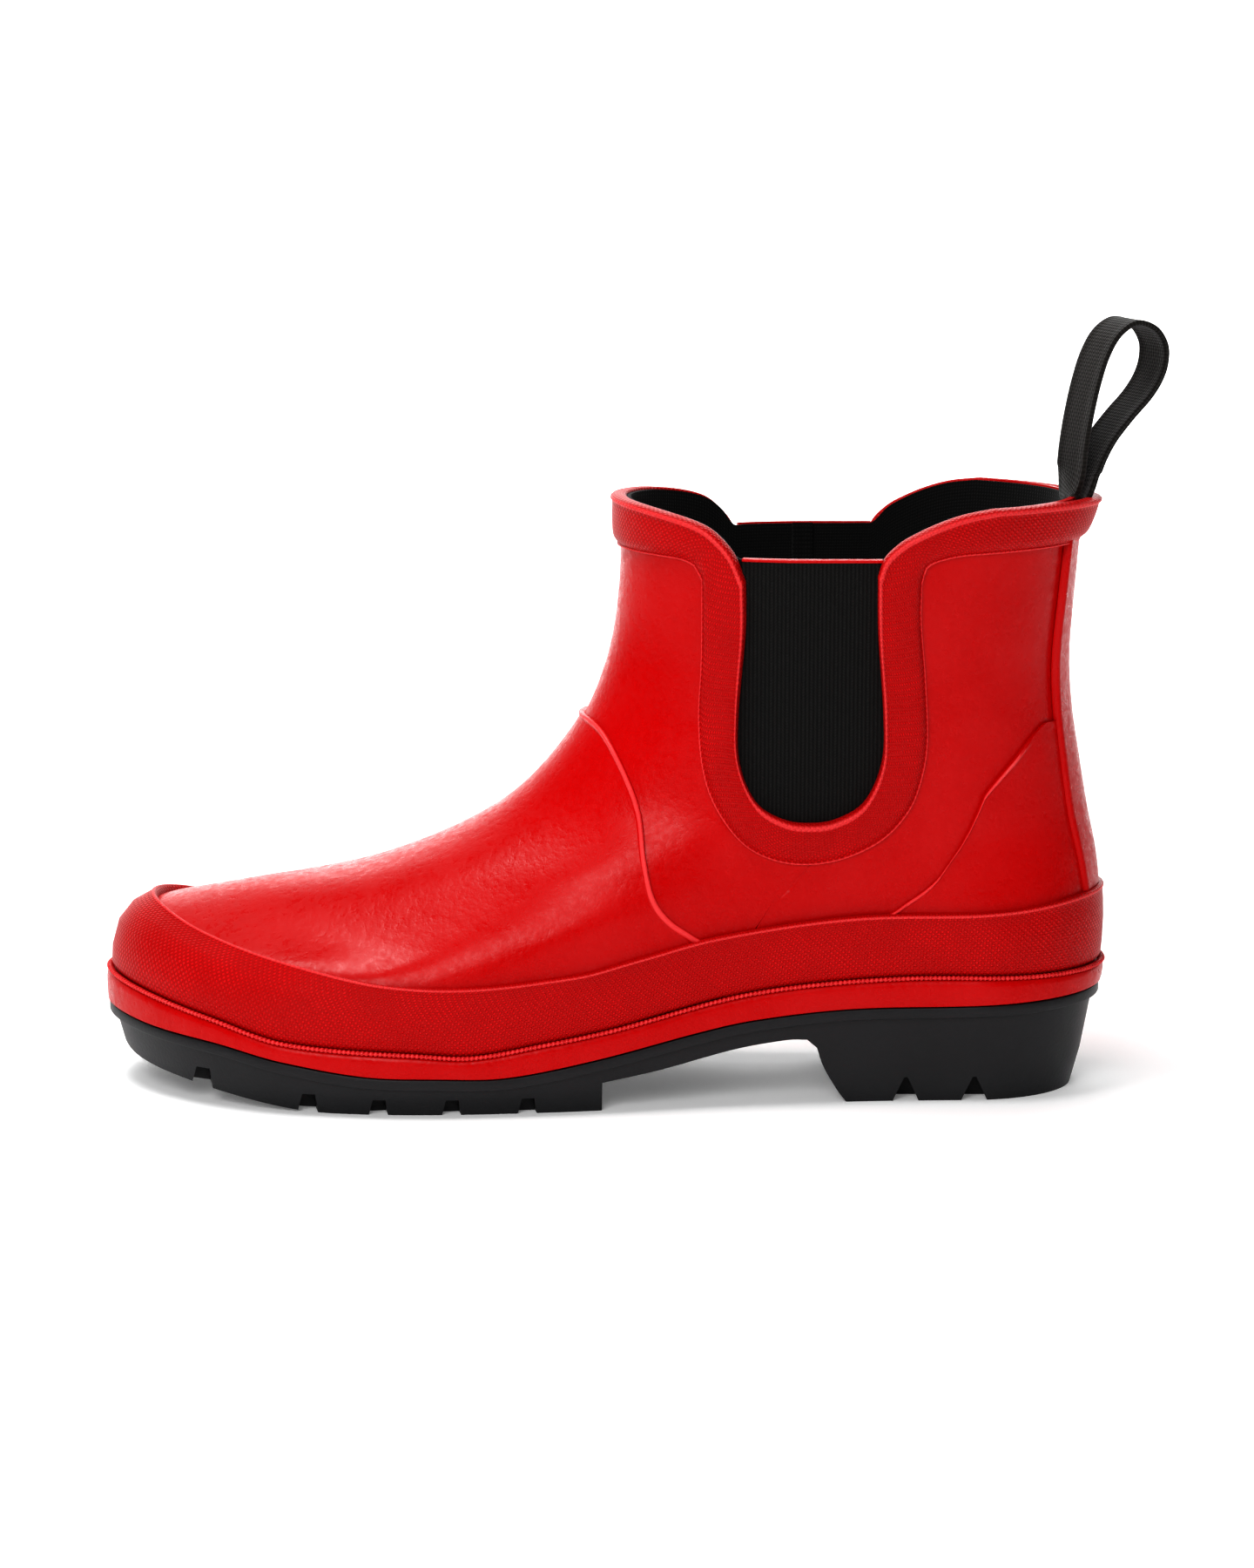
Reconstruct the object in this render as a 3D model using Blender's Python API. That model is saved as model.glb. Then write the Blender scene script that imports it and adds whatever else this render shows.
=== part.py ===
"""Ankle rain boot, left foot: moulded rubber upper over a textile lining, elastic side gores, lugged outsole.

Every length in the named values below is in millimetres and MM turns it into metres. The toe points along -X,
the lateral side faces -Y, +Z is up, and the origin is the middle of the heel's tread on the ground.
"""

import math
from collections import namedtuple

import bmesh
import bpy
from mathutils import Matrix, Vector

MM = 0.001
GAP = 0.3

# ---------------------------------------------------------------- driving dimensions
AROUND = 32

SHELL = 1.5
VAMP_STEP = 0.8
COUNTER_STEP = 1.0
BACK_STAY_FACE = 2.1
BACK_STAY_HALF = 13.5
FOXING_FACE = 3.2
WELT_FACE = 4.2
TRIM_FACE = 2.4
GORE_THICKNESS = 1.2
REINFORCEMENT = 0.8
LINING = 1.2
LINING_FACE = -2.9
BOARD_THICKNESS = 1.8
FOOTBED_THICKNESS = 4.0
FOOTBED_CLEARANCE = 2.5
COLLAR_FLARE = 4.8

GORE_X = -40.5
GORE_TOP_Z = 152.8
GORE_CLEARANCE = 0.985
TAPE_HEIGHT = 1.5
TAPE_REACH = 17.1

WEBBING_WIDTH = 15.0
WEBBING_THICKNESS = 1.5
LOOP_PIVOT = (35.0, 0.0, 169.5)
LOOP_LENGTH = 46.0
LOOP_WIDTH = 17.0
LOOP_NECK = 12.0
LOOP_LEAN = 17.0
LOOP_YAW = 25.0

OUTSOLE_FACE = 3.8
FLANGE_HEIGHT = 3.0
WALL_FACE = 1.6
TREAD_INSET = 3.0
TIP_INSET = 4.0
POCKET_INSET = 10.0
LUG_DEPTH = 4.6
LUG_GROOVE = 4.2
LUG_GROOVE_END = 18.0
LUG_GROOVE_TURN = 8.0
SHANK_HALF = 8.0
PAST_ALL = 120.0

# Heights (x, z) of the lines that run round the boot, from the toe to the heel.
SOLE_LINE = (
    (-240, 23.2), (-221, 20.3), (-201, 18.3), (-184, 14.7), (-162, 11.6), (-143, 11.1), (-124, 11.1),
    (-100, 15.2), (-71, 21.8), (-56, 24.7), (-31, 27.2), (0, 27.7), (23, 28.4), (44, 29.3),
)
RIB_LINE = (
    (-240, 32.6), (-203, 24.8), (-184, 19.9), (-148, 17.6), (-133, 16.9), (-114, 19.9), (-95, 23.4),
    (-56, 32.3), (-17, 35.6), (23, 35.5), (44, 35.5),
)
FOXING_LINE = (
    (-223, 50.2), (-208, 44.8), (-184, 39.8), (-143, 35.7), (-105, 38.7), (-87, 43), (-66, 48.1),
    (-29, 53.0), (16, 53.8), (42, 57),
)
# Underside in side view, from the toe to the heel: toe spring, forefoot tread, arch, heel breast, heel tread.
UNDERSIDE = (
    (-260, 24), (-236.5, 19.3), (-233, 15.3), (-228, 12.2), (-221, 10.4), (-212, 8.6), (-204, 6.6),
    (-191, 3.1), (-180, 0.8), (-172, 0), (-97.5, 0), (-97.5, 8.4), (-80.6, 11.5), (-61, 16.4), (-47, 18.6),
    (-41, 18.6), (-38.3, 16.2), (-36.4, 10.5), (-32.6, 3.6), (-30, 0), (60, 0),
)
# Plan of the sole: half width, and how far its middle line lies to the medial side.
SOLE_HALF = (
    (-235, 37), (-205, 43.5), (-158, 48), (-112, 42.5), (-68, 33.5), (-30, 31), (10, 30.5), (40, 30),
)
SOLE_MIDDLE = ((-235, 8), (-200, 5), (-150, 0), (-100, -2.5), (-60, -2.5), (-10, 0), (40, 0))

# The outer rubber surface is lofted through these rings, from the sole's edge to the collar. A ring runs from
# a point on the front profile to a point on the back profile. nose and tail are the lengths over which its
# ends round off, share is how much of its width comes from the sole's plan (the rest is half), and crown
# lowers its front part at the sides. A ring with a line follows it, BETWEEN runs half way up the foxing and
# rises at the toe by TOE_RISE, and the others run straight.
BETWEEN = "between"
TOE_RISE = 1.4
Ring = namedtuple("Ring", "front back nose tail half share crown line")
RINGS = (
    Ring((-232.6, 22.3), (37.8, 29.3), 50, 33, 0, 1.0, 0, SOLE_LINE),
    Ring((-232.7, 31.4), (38.9, 35.5), 50, 33, 0, 1.0, 0, RIB_LINE),
    Ring((-230.6, 43.0), (39.4, 46.0), 52, 34, 30, 0.99, 0, BETWEEN),
    Ring((-222.0, 50.0), (39.2, 57.0), 64, 38, 30, 0.97, 0, FOXING_LINE),
    Ring((-199.0, 54.8), (38.0, 66.5), 100, 44, 30, 0.95, 27, None),
    Ring((-160.0, 62.6), (35.6, 78.0), 98, 48, 33, 0.80, 8, None),
    Ring((-126.0, 78.2), (33.2, 92.0), 85, 52, 35, 0.45, 3, None),
    Ring((-105.8, 99.0), (30.9, 107.0), 68, 55, 36, 0.10, 0, None),
    Ring((-96.4, 119.3), (30.1, 122.0), 58, 56, 37, 0.0, 0, None),
    Ring((-92.8, 141.0), (31.4, 141.5), 54, 56, 39.5, 0.0, 0, None),
    Ring((-92.5, 165.5), (33.5, 165.5), 54, 56, 42, 0.0, 0, None),
)
FOXING_TOP = 3
COLLAR = len(RINGS) - 1

# Heights of the pieces' edges, counted in rings.
PANELS_TOP = 8
LINING_TURN = (8, 9)
STAY_LEVELS = (3.06, 9.42)
BAND_LOW = 8.6
TAPE_LOW = 9.0
FLARE_LOW = 9.45
PUFF_TOP = 4.6
STIFFENER_TOP = 5.6

# Side-view outlines (x, z).
VAMP_RIDGE = (
    (-104, 104.6), (-99.7, 104), (-95.5, 100.5), (-90, 90.6), (-86.6, 81), (-85.3, 69), (-83.2, 59.5),
    (-79, 52.8), (-73, 49.5), (-66, 47),
)
COUNTER_RIDGE = (
    (24, 104.5), (20.5, 101.5), (14.3, 94.4), (6.1, 85), (2.6, 76), (-0.8, 68.7), (-7.5, 61), (-18, 53.5),
)
FRONT_TOPLINE = (
    (-93, 165.5), (-85, 164.6), (-75, 162.6), (-69, 160.4), (-65, 157.2), (-61.5, 152.8), (-58.6, 146),
)
BACK_TOPLINE = (
    (-22.6, 148), (-20.8, 153.6), (-16.6, 158.3), (-12.5, 161.6), (-7, 163.9), (3, 165.5),
)
GORE_EDGE = (
    (-58.6, 146), (-58.6, 132), (-60.3, 110), (-60, 96), (-55.5, 85), (-48, 80), (-40.5, 78.8), (-33, 80),
    (-25.5, 85), (-21, 96), (-20.7, 110), (-22.3, 132), (-22.6, 148),
)
TRIM_EDGE = (
    (-70, 146), (-70.2, 124), (-71, 107), (-69.8, 93), (-66, 82.5), (-59, 73.5), (-50.5, 68.8), (-41, 67.4),
    (-31, 69), (-21.5, 73.5), (-15, 80), (-11, 88), (-8.7, 100.5), (-9.4, 118.5), (-10.8, 135),
    (-10.8, 146),
)
FRONT_BAND = ((-130, 151.5), (-79, 151.5), (-72.5, 150), (-70, 146))
BACK_BAND = ((-10.8, 146), (-9.6, 150), (-5, 152.3), (3, 153.3), (60, 153.3))
FRONT_MITRE = ((-70, 146), (-64.8, 157))
BACK_MITRE = ((-10.8, 146), (-17, 157.9))

FOREFOOT_GROOVES = (-206, -181, -161, -141, -121)
HEEL_GROOVES = (-11.5, 8.5)
HEEL_GROOVE_HALF = 4.2
HEEL_GROOVE_DEPTH = 7.0

COLOURS = {
    "red_gloss": ((0.60, 0.004, 0.008), 0.25),
    "red_stipple": ((0.48, 0.006, 0.012), 0.5),
    "black_rubber": ((0.022, 0.022, 0.024), 0.6),
    "black_elastic": ((0.010, 0.010, 0.010), 0.9),
    "black_lining": ((0.012, 0.012, 0.012), 0.9),
    "black_webbing": ((0.028, 0.024, 0.022), 0.85),
    "grey_board": ((0.28, 0.24, 0.19), 0.9),
    "steel": ((0.5, 0.5, 0.52), 0.35),
    "foam": ((0.12, 0.11, 0.10), 0.95),
}


# ---------------------------------------------------------------- curves
def mix(a, b, t):
    return a + (b - a) * t


def hermite(a, b, slope_a, slope_b, t):
    """Cubic from a to b with the given end slopes, for t from 0 to 1."""
    return (
        a * (1 + 2 * t) * (1 - t) ** 2
        + b * t * t * (3 - 2 * t)
        + slope_a * t * (1 - t) ** 2
        - slope_b * t * t * (1 - t)
    )


def line_at(line, x):
    """Smooth height of a line of (x, z) points at x, held level past its ends."""
    if x <= line[0][0]:
        return line[0][1]
    if x >= line[-1][0]:
        return line[-1][1]
    i = next(k for k in range(len(line) - 1) if x <= line[k + 1][0])

    def slope(k):
        k0 = max(k - 1, 0)
        k1 = min(k + 1, len(line) - 1)
        return (line[k1][1] - line[k0][1]) / (line[k1][0] - line[k0][0])

    span = line[i + 1][0] - line[i][0]
    t = (x - line[i][0]) / span
    return hermite(line[i][1], line[i + 1][1], slope(i) * span, slope(i + 1) * span, t)


def smooth(points, steps=3):
    """Points of a smooth curve through the given points."""
    p = [Vector(q) for q in points]
    p = [2 * p[0] - p[1]] + p + [2 * p[-1] - p[-2]]
    found = [p[1]]
    for i in range(1, len(p) - 2):
        for step in range(1, steps + 1):
            a = (p[i + 1] - p[i - 1]) / 2
            b = (p[i + 2] - p[i]) / 2
            found.append(hermite(p[i], p[i + 1], a, b, step / steps))
    return [tuple(q) for q in found]


# ---------------------------------------------------------------- the boot's surface
def sole_line(x):
    return line_at(SOLE_LINE, x)


def end_round(distance, length):
    """Share of the full width at a distance from a rounded end."""
    s = min(max(distance / length, 0.0), 1.0)
    return math.sqrt(1 - (1 - s) ** 2)


def ring_point(ring, angle):
    """Point of one ring: angle 0 is the toe, pi the heel, and angles up to pi are the lateral side."""
    t = (1 - math.cos(angle)) / 2
    x = mix(ring.front[0], ring.back[0], t)
    half = mix(ring.half, line_at(SOLE_HALF, x), ring.share)
    half *= end_round(x - ring.front[0], ring.nose) * end_round(ring.back[0] - x, ring.tail)
    y = line_at(SOLE_MIDDLE, x) * ring.share - math.copysign(half, math.sin(angle))
    if ring.line is None:
        z = mix(ring.front[1], ring.back[1], t) - ring.crown * math.sin(angle) ** 2 * (1 - t) ** 2
    elif ring.line is BETWEEN:
        z = mix(line_at(RIB_LINE, x), line_at(FOXING_LINE, x), 0.55)
        z += TOE_RISE * (1 - t) * math.cos(angle) ** 2
    else:
        z = line_at(ring.line, x)
    return Vector((x, y, z))


def surface(u, angle):
    """Point of the outer rubber surface: u counts rings up from the sole's edge."""
    u = min(max(u, 0.0), COLLAR)
    i = min(int(u), COLLAR - 1)
    p = [ring_point(RINGS[min(max(k, 0), COLLAR)], angle) for k in range(i - 1, i + 3)]
    if i == 0:
        p[0] = 2 * p[1] - p[2]
    if i == COLLAR - 1:
        p[3] = 2 * p[2] - p[1]
    return hermite(p[1], p[2], (p[2] - p[0]) / 2, (p[3] - p[1]) / 2, u - i)


def outward(u, angle):
    """Unit normal of the surface, level at the sole's edge so that the wall's foot stays on the sole."""
    step = 0.02
    around = surface(u, angle + step) - surface(u, angle - step)
    up = surface(u + step, angle) - surface(u - step, angle)
    normal = around.cross(up)
    if u < 0.5:
        normal.z = 0
    return normal.normalized()


def shell_point(u, angle, offset):
    return surface(u, angle) + outward(u, angle) * offset


# ---------------------------------------------------------------- building
def material(name):
    if name in bpy.data.materials:
        return bpy.data.materials[name]
    colour, roughness = COLOURS[name]
    made = bpy.data.materials.new(name)
    made.use_nodes = True
    shader = made.node_tree.nodes["Principled BSDF"]
    shader.inputs["Base Color"].default_value = (*colour, 1)
    shader.inputs["Roughness"].default_value = roughness
    shader.inputs["Metallic"].default_value = 1.0 if name == "steel" else 0.0
    return made


def add_object(name, bm, colour=None):
    """Object from a bmesh in millimetres. Without a colour it is a cutter."""
    bmesh.ops.scale(bm, vec=(MM, MM, MM), verts=bm.verts)
    bmesh.ops.recalc_face_normals(bm, faces=bm.faces)
    mesh = bpy.data.meshes.new(name)
    bm.to_mesh(mesh)
    bm.free()
    made = bpy.data.objects.new(name, mesh)
    if colour:
        mesh.materials.append(material(colour))
        PARTS.objects.link(made)
    else:
        CUTTERS.objects.link(made)
        made.hide_render = True
        made.display_type = "WIRE"
    return made


def cut(piece, cutter, operation="DIFFERENCE"):
    modifier = piece.modifiers.new(cutter.name, "BOOLEAN")
    modifier.operation = operation
    modifier.object = cutter


def keep(piece, cutter):
    cut(piece, cutter, "INTERSECT")


def grid_faces(bm, rows, closed):
    """Triangles between rows of vertices, always split the same way so that stacked skins stay nested."""
    count = len(rows[0])
    for low, high in zip(rows, rows[1:]):
        for j in range(count if closed else count - 1):
            k = (j + 1) % count
            bm.faces.new((low[j], low[k], high[k]))
            bm.faces.new((low[j], high[k], high[j]))


def skin(name, colour, inner, outer, levels, angles=None, floor=None):
    """Closed sheet between two offsets of the boot's surface. An offset is a number or a function of (u, angle)."""
    closed = angles is None
    angles = angles or [2 * math.pi * j / AROUND for j in range(AROUND)]
    bm = bmesh.new()
    faces = []
    for offset in (inner, outer):
        rows = []
        for u in levels:
            row = []
            for angle in angles:
                point = shell_point(u, angle, offset(u, angle) if callable(offset) else offset)
                if u == levels[0] and floor is not None:
                    point.z = sole_line(point.x) + floor
                row.append(bm.verts.new(point))
            rows.append(row)
        faces.append(rows)
    inside, outside = faces
    grid_faces(bm, outside, closed)
    grid_faces(bm, inside, closed)
    grid_faces(bm, (inside[0], outside[0]), closed)
    grid_faces(bm, (outside[-1], inside[-1]), closed)
    if not closed:
        for end in (0, -1):
            grid_faces(bm, ([row[end] for row in inside], [row[end] for row in outside]), False)
    return add_object(name, bm, colour)


def arc(middle, reach):
    """Shared angles from reach steps before a middle angle to reach steps after it."""
    return [middle + 2 * math.pi * j / AROUND for j in range(-reach, reach + 1)]


def levels(low, high):
    """Ring heights from low to high: the ones that every skin shares, and the two ends."""
    shared = list(range(FOXING_TOP)) + [k / 2 for k in range(2 * FOXING_TOP, 2 * COLLAR + 1)]
    return [low] + [u for u in shared if low < u < high] + [high]


def side_prism(name, outline, low=-PAST_ALL, high=PAST_ALL, colour=None):
    """Solid over a side-view outline of (x, z) points, from low to high across the boot."""
    curve = bpy.data.curves.new(name, "CURVE")
    curve.dimensions = "2D"
    curve.fill_mode = "BOTH"
    curve.extrude = (high - low) / 2
    spline = curve.splines.new("POLY")
    spline.points.add(len(outline) - 1)
    for point, (x, z) in zip(spline.points, outline):
        point.co = (x, z, 0, 1)
    spline.use_cyclic_u = True
    flat = bpy.data.objects.new(name, curve)
    bpy.context.collection.objects.link(flat)
    mesh = bpy.data.meshes.new_from_object(flat.evaluated_get(bpy.context.evaluated_depsgraph_get()))
    bpy.data.objects.remove(flat)
    bm = bmesh.new()
    bm.from_mesh(mesh)
    bpy.data.meshes.remove(mesh)
    bmesh.ops.remove_doubles(bm, verts=bm.verts, dist=0.01)
    stand = Matrix.Translation((0, (low + high) / 2, 0)) @ Matrix.Rotation(math.radians(90), 4, "X")
    bmesh.ops.transform(bm, matrix=stand, verts=bm.verts)
    return add_object(name, bm, colour)


def box(name, low, high, turn=0.0, colour=None):
    """Box between two corners, turned about its own upright middle line."""
    bm = bmesh.new()
    bmesh.ops.create_cube(bm, size=1)
    low, high = Vector(low), Vector(high)
    place = Matrix.Translation((low + high) / 2) @ Matrix.Rotation(math.radians(turn), 4, "Z")
    bmesh.ops.transform(bm, matrix=place @ Matrix.Diagonal((*(high - low), 1)), verts=bm.verts)
    return add_object(name, bm, colour)


def plate(name, colour, sections):
    """Solid with the sole's plan. Each section is (offset, height), both functions, from the top down."""
    bm = bmesh.new()
    rows = []
    for offset, height in sections:
        row = []
        for j in range(AROUND):
            angle = 2 * math.pi * j / AROUND
            point = shell_point(0, angle, offset(angle))
            point.z = height(point.x)
            row.append(bm.verts.new(point))
        rows.append(row)
    grid_faces(bm, rows, True)
    for row in (rows[0], rows[-1]):
        for j in range(AROUND // 2):
            a, b = row[j], row[j + 1]
            c, d = row[-j - 1], row[-j]
            for corners in ((a, b, c), (a, c, d)):
                if len(set(corners)) == 3:
                    bm.faces.new(corners)
    return add_object(name, bm, colour)


def bar(name, colour, low, high, inset, top, bottom, half=None):
    """Solid along the sole from low to high in x, inset from its plan or of a given half width."""
    bm = bmesh.new()
    steps = max(int((high - low) / 12), 2)
    rows = []
    for i in range(steps + 1):
        x = mix(low, high, i / steps)
        middle = line_at(SOLE_MIDDLE, x)
        ends = end_round(x - RINGS[0].front[0], RINGS[0].nose) * end_round(RINGS[0].back[0] - x, RINGS[0].tail)
        side = half or line_at(SOLE_HALF, x) * ends - inset
        corners = ((-side, bottom(x)), (-side, top(x)), (side, top(x)), (side, bottom(x)))
        rows.append([bm.verts.new((x, middle + y, z)) for y, z in corners])
    grid_faces(bm, rows, True)
    bm.faces.new(rows[0])
    bm.faces.new(rows[-1])
    return add_object(name, bm, colour)


def moved(outline, step):
    return [(x + step, z) for x, z in outline]


def above_sole(height):
    return lambda x: sole_line(x) + height


def level(value):
    return lambda x: value


# ---------------------------------------------------------------- the pieces
def region_cutters():
    """Side-view prisms that the panels are cut with."""
    vamp_low = [(-67, 40), (-64, 0), (-260, 0), (-260, 104.6)]
    ridge = [(x + GAP, z + GAP / 2) for x, z in VAMP_RIDGE]
    behind_low = moved(vamp_low[:2], GAP) + [(-260, 0), (-260, 104.6 + GAP)]
    counter_low = [(-22, 45), (-22, 20), (70, 20), (70, 104.5)]
    below = [(60, 165.5), (60, 0), (-260, 0), (-260, 165.5)]
    over_gore = [(-58, GORE_TOP_Z), (-22.8, GORE_TOP_Z)]
    topline = smooth(FRONT_TOPLINE)[:-1] + over_gore + smooth(BACK_TOPLINE)[1:]
    return {
        "vamp": side_prism("vamp_region", smooth(VAMP_RIDGE, 2) + vamp_low),
        "behind_vamp": side_prism("behind_vamp", smooth(ridge, 2) + behind_low),
        "counter": side_prism("counter_region", smooth(COUNTER_RIDGE, 2) + counter_low),
        "under_topline": side_prism("under_topline", topline + below),
        "gore_opening": side_prism("gore_opening", smooth(GORE_EDGE) + [(-20, 180), (-61, 180)]),
    }


def top_edges():
    """The front and back topline above the mitres, each with its mitre's upper point."""
    front = [p for p in smooth(FRONT_TOPLINE) if p[1] > FRONT_MITRE[1][1]] + [FRONT_MITRE[1]]
    back = [BACK_MITRE[1]] + [p for p in smooth(BACK_TOPLINE) if p[1] > BACK_MITRE[1][1]]
    return front, back


def trim_outline():
    """The U round one gore, mitred against the collar bindings at its two upper ends."""
    front_top = [p for p in smooth(FRONT_TOPLINE) if p[1] < FRONT_MITRE[1][1]]
    back_top = [p for p in smooth(BACK_TOPLINE) if p[1] < BACK_MITRE[1][1]]
    inner = [FRONT_MITRE[1]] + front_top[:-1] + smooth(GORE_EDGE) + back_top[1:] + [BACK_MITRE[1]]
    return inner + smooth(TRIM_EDGE)[::-1]


def upper(regions):
    vamp = skin("vamp", "red_gloss", -SHELL, VAMP_STEP, levels(0, PANELS_TOP), floor=GAP)
    keep(vamp, regions["vamp"])

    shaft = skin("shaft", "red_gloss", -SHELL, 0.0, levels(0, COLLAR), floor=GAP)
    cut(shaft, regions["behind_vamp"])
    keep(shaft, regions["under_topline"])
    cut(shaft, regions["gore_opening"])

    counter = skin("heel_counter", "red_gloss", GAP, COUNTER_STEP, levels(1, PANELS_TOP))
    keep(counter, regions["counter"])

    stay = skin("back_stay", "red_gloss", COUNTER_STEP + GAP, BACK_STAY_FACE,
                levels(*STAY_LEVELS), arc(math.pi, 2))
    keep(stay, box("stay_width", (0, -BACK_STAY_HALF, 0), (80, BACK_STAY_HALF, 200)))


def sole_trims():
    over_upper = COUNTER_STEP + GAP
    skin("foxing_band", "red_stipple", over_upper, FOXING_FACE, levels(1.0, FOXING_TOP))
    skin("welt_strip", "red_gloss", over_upper, WELT_FACE, (0.0, 0.5, 0.95), floor=GAP)


def flare(u, angle):
    """How far the collar binding stands off at the back, where the pull loop's end is tucked in."""
    near_back = math.exp(-((angle - math.pi) / 0.42) ** 2)
    height = min(max((u - FLARE_LOW) / (COLLAR - FLARE_LOW), 0), 1)
    return COLLAR_FLARE * near_back * height ** 0.6


def collar():
    """Front and back binding, a gap away from the gore trims at their mitred ends."""
    def inner(u, angle):
        return GAP + flare(u, angle)

    def outer(u, angle):
        return TRIM_FACE + flare(u, angle)

    front, back = top_edges()
    outlines = {
        "collar_binding_front": moved([(-130, 165.5)] + front + smooth(FRONT_BAND)[::-1], -GAP),
        "collar_binding_back": moved(back + [(60, 165.5)] + smooth(BACK_BAND)[::-1], GAP),
    }
    for name, outline in outlines.items():
        binding = skin(name, "red_stipple", inner, outer, levels(BAND_LOW, COLLAR))
        keep(binding, side_prism(name + "_region", outline))


def gores():
    """Elastic gore, its top tape and the trim round it, on both sides."""
    tape_low = GORE_TOP_Z - TAPE_HEIGHT
    gore_top = tape_low - GAP
    edge = [(mix(GORE_X, x, GORE_CLEARANCE), mix(z, 110, 1 - GORE_CLEARANCE)) for x, z in smooth(GORE_EDGE)]
    body = [p for p in edge if p[1] < gore_top]
    body = [(body[0][0], gore_top)] + body + [(body[-1][0], gore_top)]
    front, back = GORE_X - TAPE_REACH, GORE_X + TAPE_REACH
    tape = [(front, tape_low), (front, GORE_TOP_Z), (back, GORE_TOP_Z), (back, tape_low)]
    gore_levels = levels(FOXING_TOP, COLLAR)
    sides = (("lateral", -PAST_ALL, -1, math.pi / 2), ("medial", 1, PAST_ALL, 1.5 * math.pi))
    for side, low, high, middle in sides:
        angles = arc(middle, 5)
        gore = skin("gore_" + side, "black_elastic", -SHELL, GORE_THICKNESS - SHELL, gore_levels, angles)
        keep(gore, side_prism("gore_" + side + "_region", body, low, high))
        edge = skin("gore_tape_" + side, "red_gloss", -SHELL, 0.2, levels(TAPE_LOW, COLLAR), angles)
        keep(edge, side_prism("tape_" + side + "_region", tape, low, high))
        trim = skin("gore_trim_" + side, "red_stipple", GAP, TRIM_FACE, gore_levels, angles)
        keep(trim, side_prism("trim_" + side + "_region", trim_outline(), low, high))


def lining_offset(face):
    """The lining lies close to the rubber at the collar and leaves room for the reinforcements below."""
    low, high = LINING_TURN

    def offset(u, angle):
        return face + (-SHELL - GAP - LINING_FACE) * min(max((u - low) / (high - low), 0), 1)
    return offset


def inside(regions):
    lining = skin("lining", "black_lining", lining_offset(LINING_FACE - LINING), lining_offset(LINING_FACE),
                  levels(0.3, COLLAR), floor=GAP * 2 + BOARD_THICKNESS)
    keep(lining, regions["under_topline"])
    under = -SHELL - GAP
    skin("toe_puff", "grey_board", under - REINFORCEMENT, under, levels(1, PUFF_TOP), arc(0, 5))
    skin("heel_stiffener", "grey_board", under - REINFORCEMENT, under, levels(1, STIFFENER_TOP),
         arc(math.pi, 5))


def sole():
    """Outsole with its tread, and what lies in and on it."""
    def tread_inset(angle):
        return -TREAD_INSET - TIP_INSET * math.cos(angle) ** 4

    outsole = plate("outsole", "black_rubber", (
        (lambda a: OUTSOLE_FACE, above_sole(0)),
        (lambda a: OUTSOLE_FACE, above_sole(-FLANGE_HEIGHT)),
        (lambda a: WALL_FACE, above_sole(-FLANGE_HEIGHT - 0.8)),
        (lambda a: mix(WALL_FACE, tread_inset(a), 0.45), lambda x: sole_line(x) * 0.35),
        (tread_inset, level(-2.0)),
    ))
    cut(outsole, side_prism("underside", list(UNDERSIDE) + [(60, -20), (-260, -20)]))
    for k, x in enumerate(FOREFOOT_GROOVES):
        base = line_at(UNDERSIDE[:10], x) if x < -172 else 0
        for side, near, far in (("lateral", -70, -LUG_GROOVE_END), ("medial", LUG_GROOVE_END, 70)):
            low = (x - LUG_GROOVE / 2, near, -10)
            high = (x + LUG_GROOVE / 2, far, base + LUG_DEPTH)
            turn = -math.copysign(LUG_GROOVE_TURN, near + far)
            cut(outsole, box(f"lug_groove_{k}_{side}", low, high, turn))
    for k, x in enumerate(HEEL_GROOVES):
        wedge = [(x - HEEL_GROOVE_HALF, -1), (x, HEEL_GROOVE_DEPTH), (x + HEEL_GROOVE_HALF, -1)]
        for side, low, high in (("lateral", -70, -12), ("medial", 12, 70)):
            cut(outsole, side_prism(f"heel_groove_{k}_{side}", wedge, low, high))

    pockets = (
        ("forefoot_filler", "foam", -205, -118, POCKET_INSET, 3.0, None),
        ("shank", "steel", -114, -24, 0, 2.2, SHANK_HALF),
    )
    for name, colour, low, high, inset, depth, half in pockets:
        cut(outsole, bar(name + "_pocket", None, low, high, inset, above_sole(2), above_sole(-depth), half))
        bar(name, colour, low + GAP, high - GAP, inset + GAP, above_sole(-GAP), above_sole(GAP - depth),
            half and half - GAP)
    cut(outsole, bar("heel_core_pocket", None, -20, 25, POCKET_INSET, above_sole(2), level(9)))
    bar("heel_core", "foam", -20 + GAP, 25 - GAP, POCKET_INSET + GAP, above_sole(-GAP), level(9 + GAP))

    board = -SHELL - GAP
    plate("insole_board", "grey_board", (
        (lambda a: board, above_sole(GAP + BOARD_THICKNESS)),
        (lambda a: board, above_sole(GAP)),
    ))
    rest = 2 * GAP + BOARD_THICKNESS
    inset = LINING_FACE - LINING - FOOTBED_CLEARANCE
    plate("footbed", "foam", (
        (lambda a: inset, above_sole(rest + FOOTBED_THICKNESS)),
        (lambda a: inset, above_sole(rest)),
    ))


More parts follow.
